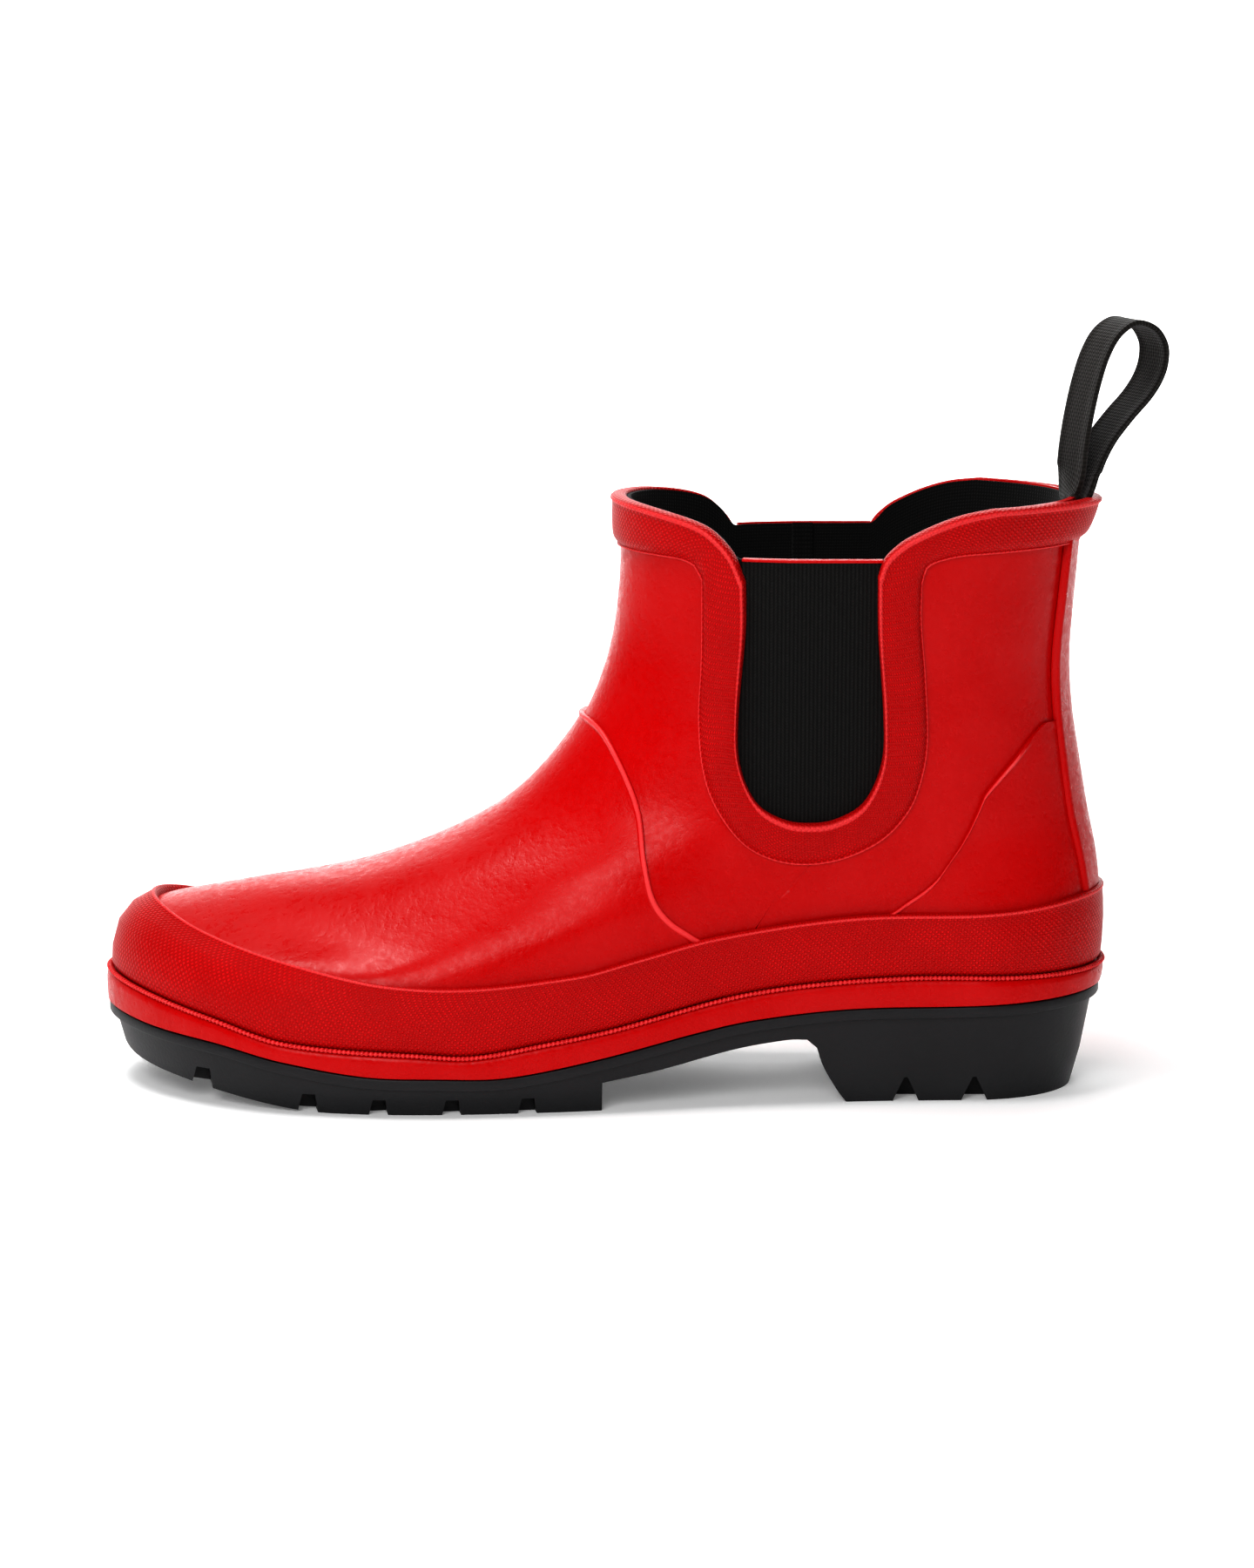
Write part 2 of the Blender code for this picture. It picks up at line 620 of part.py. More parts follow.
def pull_loop():
    """Webbing loop on the collar: two sewn tails and the free loop, whose origin is on its bending line."""
    def drop(width, low, high):
        """Half a teardrop from its point to its round top: (across, along)."""
        radius = width / 2
        centre = high - radius
        arc = [math.radians(a) for a in range(-15, 91, 15)]
        side = [(radius * math.cos(a), centre + radius * math.sin(a)) for a in arc]
        return [(WEBBING_THICKNESS * (low == 0), low)] + side

    outer = drop(LOOP_WIDTH, 0, LOOP_LENGTH)
    hole = drop(LOOP_WIDTH - 2 * WEBBING_THICKNESS, LOOP_NECK, LOOP_LENGTH - WEBBING_THICKNESS)
    neck = (WEBBING_THICKNESS, LOOP_NECK - 2)
    foot = [(WEBBING_THICKNESS * math.sin(math.radians(a)), -WEBBING_THICKNESS * math.cos(math.radians(a)))
            for a in range(0, 90, 30)]
    right = foot + [outer[0], neck] + outer[1:]
    outline = right + [(-x, z) for x, z in right[-2:0:-1]]
    inner = hole + [(-x, z) for x, z in hole[-2:0:-1]]
    loop = side_prism("pull_loop", outline, -WEBBING_WIDTH / 2, WEBBING_WIDTH / 2, "black_webbing")
    cut(loop, side_prism("pull_loop_hole", inner))
    turn = Matrix.Rotation(math.radians(LOOP_YAW), 4, "Z") @ Matrix.Rotation(math.radians(LOOP_LEAN), 4, "Y")
    pose = Matrix.Translation(Vector(LOOP_PIVOT) * MM) @ turn
    loop.matrix_world = pose
    bpy.data.objects["pull_loop_hole"].matrix_world = pose

    t = WEBBING_THICKNESS
    half = WEBBING_WIDTH / 2
    tuck = [(33.9, 161), (33.8 + t, 161), (34.4 + t, 166), (35.2 + t, 167.4), (35.2, 167.4), (34.2, 166)]
    sewn = [(27.9 - t, 150), (27.9, 150), (29.1, 166), (33.6, 166.2), (33.6, 167.4), (29.1 - t, 167.4)]
    side_prism("loop_tail_outer", tuck, -half, half, "black_webbing")
    side_prism("loop_tail_inner", sewn, -half, half, "black_webbing")


def clear_scene():
    for old in list(bpy.data.objects):
        bpy.data.objects.remove(old)


def new_collection(name):
    made = bpy.data.collections.new(name)
    bpy.context.scene.collection.children.link(made)
    return made


clear_scene()
PARTS = new_collection("rain_boot")
CUTTERS = new_collection("cutters")
REGIONS = region_cutters()
sole()
upper(REGIONS)
sole_trims()
collar()
gores()
inside(REGIONS)
pull_loop()
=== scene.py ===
# %% [markdown]
# # An ankle rain boot
# A rain boot is built on a last, a solid foot form. Sheets of raw rubber are laid over a textile sock,
# bands of rubber are rolled round the edges, and the whole boot is then cured in one go. This lesson
# builds it the same way: one smooth surface stands for the last, and every sheet and band is a strip laid
# on it at its own height.

import math

import bpy
import mathutils
import numpy as np
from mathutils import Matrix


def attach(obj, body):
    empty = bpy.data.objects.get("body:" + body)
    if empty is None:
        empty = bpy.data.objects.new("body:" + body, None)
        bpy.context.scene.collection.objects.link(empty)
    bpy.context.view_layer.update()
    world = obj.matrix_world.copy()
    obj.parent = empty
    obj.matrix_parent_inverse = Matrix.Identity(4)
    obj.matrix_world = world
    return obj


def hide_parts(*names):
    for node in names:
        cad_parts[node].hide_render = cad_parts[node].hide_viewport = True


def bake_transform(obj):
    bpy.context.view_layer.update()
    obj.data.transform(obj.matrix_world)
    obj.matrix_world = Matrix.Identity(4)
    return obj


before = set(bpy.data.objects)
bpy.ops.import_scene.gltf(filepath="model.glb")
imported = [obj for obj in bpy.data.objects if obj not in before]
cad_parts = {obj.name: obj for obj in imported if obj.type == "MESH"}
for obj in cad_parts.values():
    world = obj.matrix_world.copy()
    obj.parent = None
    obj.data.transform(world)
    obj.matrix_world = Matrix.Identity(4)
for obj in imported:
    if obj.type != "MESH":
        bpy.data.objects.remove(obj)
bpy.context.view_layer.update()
MM = 0.001

# %% [markdown]
# ## The last
# The surface is lofted through rings. Each ring runs from a point on the front profile to one on the back
# profile, and its ends round off over the lengths nose and tail. The numbers are those of the design, in
# millimetres: share is how much of a ring's width comes from the sole's plan, and crown lowers its front
# part at the sides.

# %% Lines round the boot
SOLE_LINE = (
    (-240, 23.2), (-221, 20.3), (-201, 18.3), (-184, 14.7), (-162, 11.6), (-143, 11.1), (-124, 11.1),
    (-100, 15.2), (-71, 21.8), (-56, 24.7), (-31, 27.2), (0, 27.7), (23, 28.4), (44, 29.3),
)
RIB_LINE = (
    (-240, 32.6), (-203, 24.8), (-184, 19.9), (-148, 17.6), (-133, 16.9), (-114, 19.9), (-95, 23.4),
    (-56, 32.3), (-17, 35.6), (23, 35.5), (44, 35.5),
)
FOXING_LINE = (
    (-223, 50.2), (-208, 44.8), (-184, 39.8), (-143, 35.7), (-105, 38.7), (-87, 43), (-66, 48.1),
    (-29, 53.0), (16, 53.8), (42, 57),
)
SOLE_HALF = (
    (-235, 37), (-205, 43.5), (-158, 48), (-112, 42.5), (-68, 33.5), (-30, 31), (10, 30.5), (40, 30),
)
SOLE_MIDDLE = ((-235, 8), (-200, 5), (-150, 0), (-100, -2.5), (-60, -2.5), (-10, 0), (40, 0))

# front (x, z), back (x, z), nose, tail, half width, share, crown, line
RINGS = (
    ((-232.6, 22.3), (37.8, 29.3), 50, 33, 0, 1.0, 0, SOLE_LINE),
    ((-232.7, 31.4), (38.9, 35.5), 50, 33, 0, 1.0, 0, RIB_LINE),
    ((-230.6, 43.0), (39.4, 46.0), 52, 34, 30, 0.99, 0, "between"),
    ((-222.0, 50.0), (39.2, 57.0), 64, 38, 30, 0.97, 0, FOXING_LINE),
    ((-199.0, 54.8), (38.0, 66.5), 100, 44, 30, 0.95, 27, None),
    ((-160.0, 62.6), (35.6, 78.0), 98, 48, 33, 0.80, 8, None),
    ((-126.0, 78.2), (33.2, 92.0), 85, 52, 35, 0.45, 3, None),
    ((-105.8, 99.0), (30.9, 107.0), 68, 55, 36, 0.10, 0, None),
    ((-96.4, 119.3), (30.1, 122.0), 58, 56, 37, 0.0, 0, None),
    ((-92.8, 141.0), (31.4, 141.5), 54, 56, 39.5, 0.0, 0, None),
    ((-92.5, 165.5), (33.5, 165.5), 54, 56, 42, 0.0, 0, None),
)
SOLE_EDGE, RIB, FOXING_TOP, COLLAR = 0, 1, 3, len(RINGS) - 1
SIDES = (("lateral", 1), ("medial", -1))
print(len(RINGS), "rings make the last")

# %% [markdown]
# ## Curves
# A last has no flat face and no sharp corner, so every line on it is a smooth curve through a few drawn
# points. Blender's own curve objects could hold them; plain functions are easier here, because the same
# few lines give a height for any x and a row of evenly spaced points.


# %% Smooth lines
def mix(a, b, t):
    return a + (b - a) * t


def hermite(a, b, slope_a, slope_b, t):
    """Cubic from a to b with the given end slopes, for t from 0 to 1."""
    return (a * (1 + 2 * t) * (1 - t) ** 2 + b * t * t * (3 - 2 * t)
            + slope_a * t * (1 - t) ** 2 - slope_b * t * t * (1 - t))


def line_at(line, x):
    """Smooth height of a line of (x, z) points at every x, level past its ends."""
    xs, zs = np.array(line, float).T
    before = np.concatenate(([0], np.arange(len(xs) - 1)))
    after = np.concatenate((np.arange(1, len(xs)), [len(xs) - 1]))
    slopes = (zs[after] - zs[before]) / (xs[after] - xs[before])
    x = np.clip(x, xs[0], xs[-1])
    i = np.clip(np.searchsorted(xs, x, side="right") - 1, 0, len(xs) - 2)
    span = xs[i + 1] - xs[i]
    return hermite(zs[i], zs[i + 1], slopes[i] * span, slopes[i + 1] * span, (x - xs[i]) / span)


def smooth(points, steps=8):
    """Points of a smooth curve through the given points."""
    p = np.array(points, float)
    p = np.vstack((2 * p[0] - p[1], p, 2 * p[-1] - p[-2]))
    found = [p[1]]
    for i in range(1, len(p) - 2):
        for t in np.arange(1, steps + 1) / steps:
            found.append(hermite(p[i], p[i + 1], (p[i + 1] - p[i - 1]) / 2, (p[i + 2] - p[i]) / 2, t))
    return np.array(found)


def spaced(points, count):
    """count points at even distances along a line of points."""
    points = np.asarray(points, float)
    run = np.concatenate(([0], np.cumsum(np.linalg.norm(np.diff(points, axis=0), axis=1))))
    want = np.linspace(0, run[-1], count)
    return np.stack([np.interp(want, run, column) for column in points.T], axis=-1)


def ease(t):
    t = np.clip(t, 0, 1)
    return t * t * (3 - 2 * t)


def unit(vectors):
    return vectors / np.linalg.norm(vectors, axis=-1, keepdims=True)


def last_true(holds, low, high, shape):
    """Closes in between low, where holds(value) is true, and high, where it isn't, over a whole array."""
    low, high = np.full(shape, float(low)), np.full(shape, float(high))
    for _ in range(30):
        middle = (low + high) / 2
        held = holds(middle)
        low, high = np.where(held, middle, low), np.where(held, high, middle)
    return low, high


print("the rib's line at the heel is", line_at(RIB_LINE, 0).round(1), "mm up")

# %% [markdown]
# ## The rubber's surface
# The rings are joined by one smooth curve up every angle. A subdivision surface over a cage would look
# alike, but this one can be asked for a point and its outward direction anywhere, and each sheet of
# rubber needs just that.


# %% The surface
SOLE_GAP = 0.3


def end_round(distance, length):
    """Half width's share at a distance from a ring's end, which is round over the given length."""
    s = np.clip(distance / length, 0, 1)
    return np.sqrt(1 - (1 - s) ** 2)


def ring_points(ring, angle):
    """Points of one ring: angle 0 is the toe, pi the heel, and angles up to pi are the lateral side."""
    front, back, nose, tail, half, share, crown, line = ring
    t = (1 - np.cos(angle)) / 2
    x = mix(front[0], back[0], t)
    width = mix(half, line_at(SOLE_HALF, x), share)
    width = width * end_round(x - front[0], nose) * end_round(back[0] - x, tail)
    y = line_at(SOLE_MIDDLE, x) * share - np.copysign(width, np.sin(angle))
    if line is None:
        z = mix(front[1], back[1], t) - crown * np.sin(angle) ** 2 * (1 - t) ** 2
    elif line == "between":
        z = mix(line_at(RIB_LINE, x), line_at(FOXING_LINE, x), 0.55)
        z = z + (front[1] - 41.6) * (1 - t) * np.cos(angle) ** 2
    else:
        z = line_at(line, x)
    return np.stack((x, y, z), axis=-1)


def surface(u, angle):
    """Points of the outer rubber surface: u counts rings up from the sole's edge."""
    u, angle = np.broadcast_arrays(np.asarray(u, float), np.asarray(angle, float))
    rings = np.stack([ring_points(ring, angle) for ring in RINGS])
    rings = np.concatenate((2 * rings[:1] - rings[1:2], rings, 2 * rings[-1:] - rings[-2:-1]))
    i = np.clip(np.floor(u).astype(int), 0, COLLAR - 1)
    p = [np.take_along_axis(rings, (i + k)[None, ..., None], 0)[0] for k in range(4)]
    return hermite(p[1], p[2], (p[2] - p[0]) / 2, (p[3] - p[1]) / 2, (u - i)[..., None])


def outward(u, angle):
    step = 0.02
    around = surface(u, angle + step) - surface(u, angle - step)
    up = surface(u + step, angle) - surface(u - step, angle)
    normal = np.cross(around, up)
    normal[..., 2] *= ease(np.broadcast_to(u, normal.shape[:-1]) / 0.5)
    return unit(normal)


def laid(u, angle, height):
    """Points at a height above the surface, never below the sole's edge."""
    u, angle, height = np.broadcast_arrays(u, angle, height)
    points = surface(u, angle) + outward(u, angle) * height[..., None]
    foot = u <= SOLE_EDGE
    points[foot, 2] = line_at(SOLE_LINE, points[foot, 0]) + SOLE_GAP
    return points


def level_at(angle, line, low=0.0, high=COLLAR):
    """The u at which each angle's upright line first comes up to a side-view line (x, z)."""
    def below(u):
        point = surface(u, angle)
        return point[..., 2] < line_at(line, point[..., 0])

    low, high = last_true(below, low, high, np.shape(angle))
    return (low + high) / 2


def side_view(points, side):
    """(u, angle) of side-view points (x, z) on the lateral (1) or medial (-1) side.

    The nearest point of a coarse grid comes first, and Newton's method closes the rest of the gap."""
    x, z = np.asarray(points, float)[..., 0], np.asarray(points, float)[..., 1]
    levels, angles = np.linspace(FOXING_TOP, COLLAR, 40), np.linspace(0.5, 2.8, 60)
    grid_u, grid_a = np.meshgrid(levels, angles, indexing="ij")
    grid = surface(grid_u, grid_a)
    gap = (grid[..., 0][..., None] - x.ravel()) ** 2 + (grid[..., 2][..., None] - z.ravel()) ** 2
    nearest = gap.reshape(-1, x.size).argmin(axis=0)
    u, angle = grid_u.ravel()[nearest], grid_a.ravel()[nearest]
    for _ in range(8):
        at = surface(u, angle)
        du = (surface(u + 0.01, angle) - at) / 0.01
        da = (surface(u, angle + 0.01) - at) / 0.01
        ex, ez = x.ravel() - at[:, 0], z.ravel() - at[:, 2]
        scale = du[:, 0] * da[:, 2] - du[:, 2] * da[:, 0]
        u = u + np.clip((ex * da[:, 2] - ez * da[:, 0]) / scale, -0.5, 0.5)
        angle = angle + np.clip((ez * du[:, 0] - ex * du[:, 2]) / scale, -0.2, 0.2)
    return u.reshape(x.shape), side * angle.reshape(x.shape)


print("the toe's tip is at", surface(RIB, 0.0).round(1), "mm")

# %% [markdown]
# ## Laying a strip
# Every sheet, band and tape is the same thing: a grid of points laid on the last. It starts as Blender's
# own grid, its points are moved to their places, doubled ones are joined and the ends are closed, so that
# it is a real solid of rubber. Its UVs are in metres, and an attribute marks the raised edges where a
# highlight is painted into the colour.


# %% Strips and pieces
def only(obj):
    bpy.ops.object.select_all(action="DESELECT")
    obj.select_set(True)
    bpy.context.view_layer.objects.active = obj


def shade(obj, sharp):
    """Shades smooth, except over edges that turn by more than sharp degrees."""
    only(obj)
    bpy.ops.object.shade_smooth_by_angle(angle=math.radians(sharp))


def tidy_mesh(obj, sharp=50):
    """Joins doubled points, closes open ends, turns faces outwards and shades smooth."""
    only(obj)
    bpy.ops.object.mode_set(mode="EDIT")
    bpy.ops.mesh.select_all(action="SELECT")
    bpy.ops.mesh.remove_doubles(threshold=1e-6)
    bpy.ops.mesh.fill_holes(sides=0)
    bpy.ops.mesh.select_all(action="SELECT")
    bpy.ops.mesh.normals_make_consistent(inside=False)
    bpy.ops.object.mode_set(mode="OBJECT")
    shade(obj, sharp)


def strip(name, rows, sharp=50, uv=None, lip=0):
    """A grid with its points at rows[station, step] in millimetres, and its UVs in metres both ways.

    lip marks the steps, from 0 to 1, of a raised edge whose colour carries a painted highlight."""
    rows = np.asarray(rows, float) * MM
    stations, steps = rows.shape[:2]
    bpy.ops.object.select_all(action="DESELECT")
    bpy.ops.mesh.primitive_grid_add(x_subdivisions=steps - 1, y_subdivisions=stations - 1, size=1)
    obj = bpy.context.object
    obj.name = obj.data.name = name
    obj.data.vertices.foreach_set("co", rows.reshape(-1))
    along = np.zeros((stations, steps))
    along[1:] = np.cumsum(np.linalg.norm(np.diff(rows, axis=0), axis=2).mean(axis=1))[:, None]
    across = np.zeros((stations, steps))
    across[:, 1:] = np.cumsum(np.linalg.norm(np.diff(rows, axis=1), axis=2).mean(axis=0))
    corner = np.zeros(len(obj.data.loops), int)
    obj.data.loops.foreach_get("vertex_index", corner)
    flat = np.stack((along, across), axis=-1) if uv is None else np.asarray(uv, float) * MM
    obj.data.uv_layers[0].data.foreach_set("uv", flat.reshape(-1, 2)[corner].ravel())
    # painted highlight: this attribute marks where a lighter colour is painted on raised edges
    painted_highlight = obj.data.attributes.new("painted_highlight", "FLOAT", "POINT")
    painted_highlight.data.foreach_set("value", np.array(np.broadcast_to(lip, (stations, steps)), float).ravel())
    obj.data.update()
    tidy_mesh(obj, sharp)
    return obj


def dress(material, *objects):
    for obj in objects:
        obj.data.materials.clear()
        obj.data.materials.append(material)


def place(obj, material, slot, *nodes, body="boot"):
    """Gives a finished piece its material, the CAD nodes it stands for, and the body it rides on."""
    dress(material, obj, *(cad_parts[node] for node in nodes))
    if nodes:
        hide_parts(*nodes)
    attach(obj, body)
    print(obj.name, len(obj.data.polygons), "faces")


print("strips are laid in units of", MM, "m")

# %% [markdown]
# ## Shader sums
# Materials here are written as sums and products of patterns. A small class wraps an output socket, so
# that plain arithmetic adds the Math nodes, and one method adds every other kind of node.

# %% Sockets and nodes
class Signal:
    """One output of a node. Arithmetic on it adds Math nodes."""

    def __init__(self, finish, socket):
        self.finish = finish
        self.socket = socket

    def math(self, operation, *values):
        return self.finish.node("ShaderNodeMath", {"operation": operation}, *values)

    def __add__(self, other):
        return self.math("ADD", self, other)

    def __radd__(self, other):
        return self.math("ADD", other, self)

    def __sub__(self, other):
        return self.math("SUBTRACT", self, other)

    def __rsub__(self, other):
        return self.math("SUBTRACT", other, self)

    def __mul__(self, other):
        return self.math("MULTIPLY", self, other)

    def sine(self):
        return self.math("SINE", self)

    def clamped(self, low, high):
        """0 where the signal is at or under low, 1 at or over high, and smooth between."""
        smooth_step = {"interpolation_type": "SMOOTHSTEP"}
        return self.finish.node("ShaderNodeMapRange", smooth_step, self, low, high)


class Finish:
    """A material under construction, with its Principled shader."""

    def __init__(self, name, **fixed):
        self.material = bpy.data.materials.new(name)
        self.material.use_nodes = True
        self.tree = self.material.node_tree
        self.shader = self.tree.nodes["Principled BSDF"]
        for socket, value in fixed.items():
            self.set(socket.replace("_", " ").title().replace("Ior", "IOR"), value)

    def node(self, kind, settings=None, *values, output=0, **named):
        """Adds a node: its settings first, then its sockets by order or by name, as values or links."""
        made = self.tree.nodes.new(kind)
        for key, value in (settings or {}).items():
            setattr(made, key, value)
        for key, value in [*enumerate(values), *named.items()]:
            self.feed(made.inputs[key], value)
        return Signal(self, made.outputs[output])

    def feed(self, socket, value):
        if isinstance(value, Signal):
            self.tree.links.new(value.socket, socket)
        elif isinstance(value, tuple) and len(value) == 3 and socket.type == "RGBA":
            socket.default_value = (*value, 1)
        else:
            socket.default_value = value

    def set(self, socket, value):
        self.feed(self.shader.inputs[socket], value)

    def ends(self, tone, dark, light, roughness, *bumps):
        """Feeds the shader a tone between two colours, a roughness, and bumps of (height, depth, strength)."""
        self.set("Base Color", self.blend(tone, dark, light))
        self.set("Roughness", roughness)
        normal = None
        for bump in bumps:
            normal = self.relief(*bump, under=normal)
        self.set("Normal", normal)
        return self.material

    def position(self):
        return self.node("ShaderNodeTexCoord", output="Object")

    def uv(self):
        """The piece's own UV, in metres: along the strip, and across it."""
        flat = self.node("ShaderNodeTexCoord", output="UV")
        return self.parts(flat)[:2]

    def painted_highlight(self):
        """1 where a raised edge carries a painted highlight, and 0 elsewhere."""
        return self.node("ShaderNodeAttribute", {"attribute_name": "painted_highlight"}, output="Fac")

    def parts(self, vector):
        made = self.tree.nodes.new("ShaderNodeSeparateXYZ")
        self.feed(made.inputs[0], vector)
        return [Signal(self, out) for out in made.outputs]

    def noise(self, pitch, detail=2.0, roughness=0.5):
        """Cloudy noise, its lumps about pitch metres across."""
        return self.node("ShaderNodeTexNoise", None, Vector=self.position(), Scale=1 / pitch,
                         Detail=detail, Roughness=roughness, output="Fac")

    def blend(self, factor, a, b):
        """Colour a where factor is 0 and b where it is 1."""
        made = self.tree.nodes.new("ShaderNodeMix")
        made.data_type = "RGBA"
        self.feed(made.inputs["Factor"], factor)
        self.feed(made.inputs[6], a)
        self.feed(made.inputs[7], b)
        return Signal(self, made.outputs[2])

    def relief(self, height, depth, strength=1.0, under=None):
        """Bump from a height signal of 0 to 1 that stands for depth metres."""
        made = self.tree.nodes.new("ShaderNodeBump")
        self.feed(made.inputs["Strength"], strength)
        self.feed(made.inputs["Distance"], depth)
        self.feed(made.inputs["Height"], height)
        if under:
            self.feed(made.inputs["Normal"], under)
        return Signal(self, made.outputs["Normal"])


def waves(signal, pitch):
    """Ripples from 0 to 1, one every pitch metres."""
    return (signal * (2 * math.pi / pitch)).sine() * 0.5 + 0.5


print("shader helpers ready")

# %% [markdown]
# ## Red rubber
# The smooth sheets come off the last with a wet gloss that isn't even: tiny pits and bloom break up the
# reflections. Two sizes of noise move the roughness and the bump, and the colour stays deep and even,
# except on raised edges, which are painted a lighter red as a painted highlight.

# %% Smooth red rubber
def red_gloss():
    skin = Finish("red_gloss_rubber", specular_ior_level=0.16, coat_roughness=0.22)
    cloud = skin.noise(0.022, 3.0)
    speckle = skin.noise(0.0021, 3.0, 0.65)
    bloom = (speckle * 0.7 + cloud * 0.3).clamped(0.36, 0.68)
    sheet = skin.blend(cloud, (0.47, 0.0003, 0.0008), (0.54, 0.0008, 0.0020))
    # painted highlight: raised edges and beads are painted a lighter red
    skin.set("Base Color", skin.blend(skin.painted_highlight() * 0.8, sheet, (0.86, 0.075, 0.080)))
    skin.set("Roughness", 0.24 + bloom * 0.26)
    skin.set("Coat Weight", 0.04 + cloud.clamped(0.35, 0.7) * 0.10)
    fine = skin.relief(speckle, 0.00035, 0.5)
    skin.set("Normal", skin.relief(skin.noise(0.008, 1.0), 0.0005, 0.3, under=fine))
    return skin.material


RED_GLOSS = red_gloss()
print("made", RED_GLOSS.name)

# %% [markdown]
# ## Stippled rubber
# The bands are run through a patterned roll, which presses a lattice of tiny diamonds into them.
# Modelling each diamond would take a million faces; two crossed ripples of the strip's UVs give the same
# lattice to the bump, and paint the diamonds' tops a lighter red as a painted highlight.


# %% Stippled red rubber
def red_stipple():
    """The bands carry the print of the calender roll: a lattice of small raised diamonds."""
    skin = Finish("red_stippled_rubber", specular_ior_level=0.2)
    along, across = skin.uv()
    pitch = 0.0016
    lattice = waves(along + across, pitch) * waves(along - across, pitch)
    # patches of noise: they vary how strong the tops' painted highlight is, and the roughness
    patchy = skin.noise(0.012, 2.0).clamped(0.3, 0.75)
    tops = lattice.clamped(0.12, 0.7)
    # painted highlight: the diamonds' tops are painted a lighter red
    tone = skin.blend(tops * (0.45 + patchy * 0.55), (0.42, 0.0004, 0.0008), (0.72, 0.004, 0.007))
    # painted highlight: raised edges are painted a lighter red
    skin.set("Base Color", skin.blend(skin.painted_highlight() * 0.75, tone, (0.86, 0.065, 0.070)))
    skin.set("Roughness", 0.46 - tops * 0.14 + patchy * 0.06)
    fine = skin.relief(skin.noise(0.0006), 0.00003, 0.5)
    skin.set("Normal", skin.relief(tops, 0.00035, 0.8, under=fine))
    return skin.material


RED_STIPPLE = red_stipple()
print("made", RED_STIPPLE.name)

# %% [markdown]
# ## Sole rubber
# The sole is a harder black compound, dull from the mould. A plain colour would look like plastic, so two
# sizes of noise vary its shade and its gloss a little.


# %% Black rubber
def black_rubber():
    skin = Finish("black_sole_rubber", specular_ior_level=0.35)
    cloud = skin.noise(0.018, 3.0)
    grain = skin.noise(0.0009, 2.0)
    return skin.ends(cloud, (0.011, 0.011, 0.012), (0.020, 0.020, 0.022),
                     0.34 + cloud * 0.18 + grain * 0.08, (grain, 0.00012, 0.5))


BLACK_RUBBER = black_rubber()
print("made", BLACK_RUBBER.name)

# %% [markdown]
# ## Webbing and cloth
# The gore and the loop are woven and the lining is knitted. Threads could be modelled one by one, but
# from an arm's length only their rows show, so each cloth is a sum of ripples along and across the
# strip's UVs, with fuzz.


# %% Woven and knitted finishes
def elastic():
    """Elastic webbing: covered rubber cords side by side, bound by a herringbone of fine yarn."""
    skin = Finish("black_elastic_webbing", specular_ior_level=0.2, sheen_weight=0.12,
                  sheen_roughness=0.5)
    along, across = skin.uv()
    cords = waves(along, 0.0011)
    slant = waves(across + (waves(along, 0.0044) * 0.0022), 0.0008)
    yarn = cords * (0.55 + slant * 0.45)
    fuzz = skin.noise(0.0007, 2.0)
    return skin.ends(yarn * 0.7 + fuzz * 0.3, (0.003, 0.003, 0.003), (0.016, 0.016, 0.015),
                     0.88 - yarn * 0.12, (fuzz, 0.0001, 0.4), (yarn, 0.00025, 0.7))


def knit():
    skin = Finish("black_jersey_lining", specular_ior_level=0.15, sheen_weight=0.1, sheen_roughness=0.6)
    along, across = skin.uv()
    loops = waves(along, 0.0012) * waves(across + waves(along, 0.0012) * 0.0003, 0.0009)
    fuzz = skin.noise(0.001, 3.0)
    return skin.ends(loops * 0.6 + fuzz * 0.4, (0.002, 0.002, 0.002), (0.011, 0.0105, 0.010),
                     0.93 - loops * 0.06, (fuzz, 0.0001, 0.4), (loops, 0.0002, 0.6))


def webbing():
    """Narrow woven tape: weft ribs across it, and warp columns along it with a denser edge."""
    skin = Finish("black_woven_tape", specular_ior_level=0.3, sheen_weight=0.15, sheen_roughness=0.4)
    along, across = skin.uv()
    ribs = waves(along, 0.0010)
    columns = waves(across, 0.0009)
    weave = ribs * 0.6 + columns * 0.4 - waves(along + across, 0.002) * 0.15
    fuzz = skin.noise(0.0008, 2.0)
    return skin.ends(weave * 0.75 + fuzz * 0.25, (0.004, 0.0035, 0.003), (0.026, 0.022, 0.019),
                     0.8 - weave * 0.15, (fuzz, 0.0001, 0.3), (weave, 0.0003, 0.7))


ELASTIC, KNIT, WEBBING = elastic(), knit(), webbing()
print("made", ELASTIC.name, KNIT.name, WEBBING.name)

# %% [markdown]
# ## Paper sweep
# Footwear is pictured on white paper that runs on under it and curves up behind, so that no horizon
# shows. A world colour could stand in for it, but only a real sheet takes the boot's soft shadow. A
# plane's far edge is extruded upwards, and a bevel rounds the fold.


# %% Floor
def white_paper():
    paper = Finish("white_sweep", roughness=0.9, specular_ior_level=0.1, emission_strength=0.12)
    paper.set("Base Color", paper.blend(paper.noise(0.4), (0.94, 0.94, 0.94), (0.96, 0.96, 0.96)))
    paper.set("Emission Color", (1.0, 1.0, 1.0))
    return paper.material


def select_edges(obj, wanted):
    """Selects the edges of which both ends are wanted, for the next step in edit mode."""
    for edge in obj.data.edges:
        edge.select = all(wanted(obj.data.vertices[k].co) for k in edge.vertices)


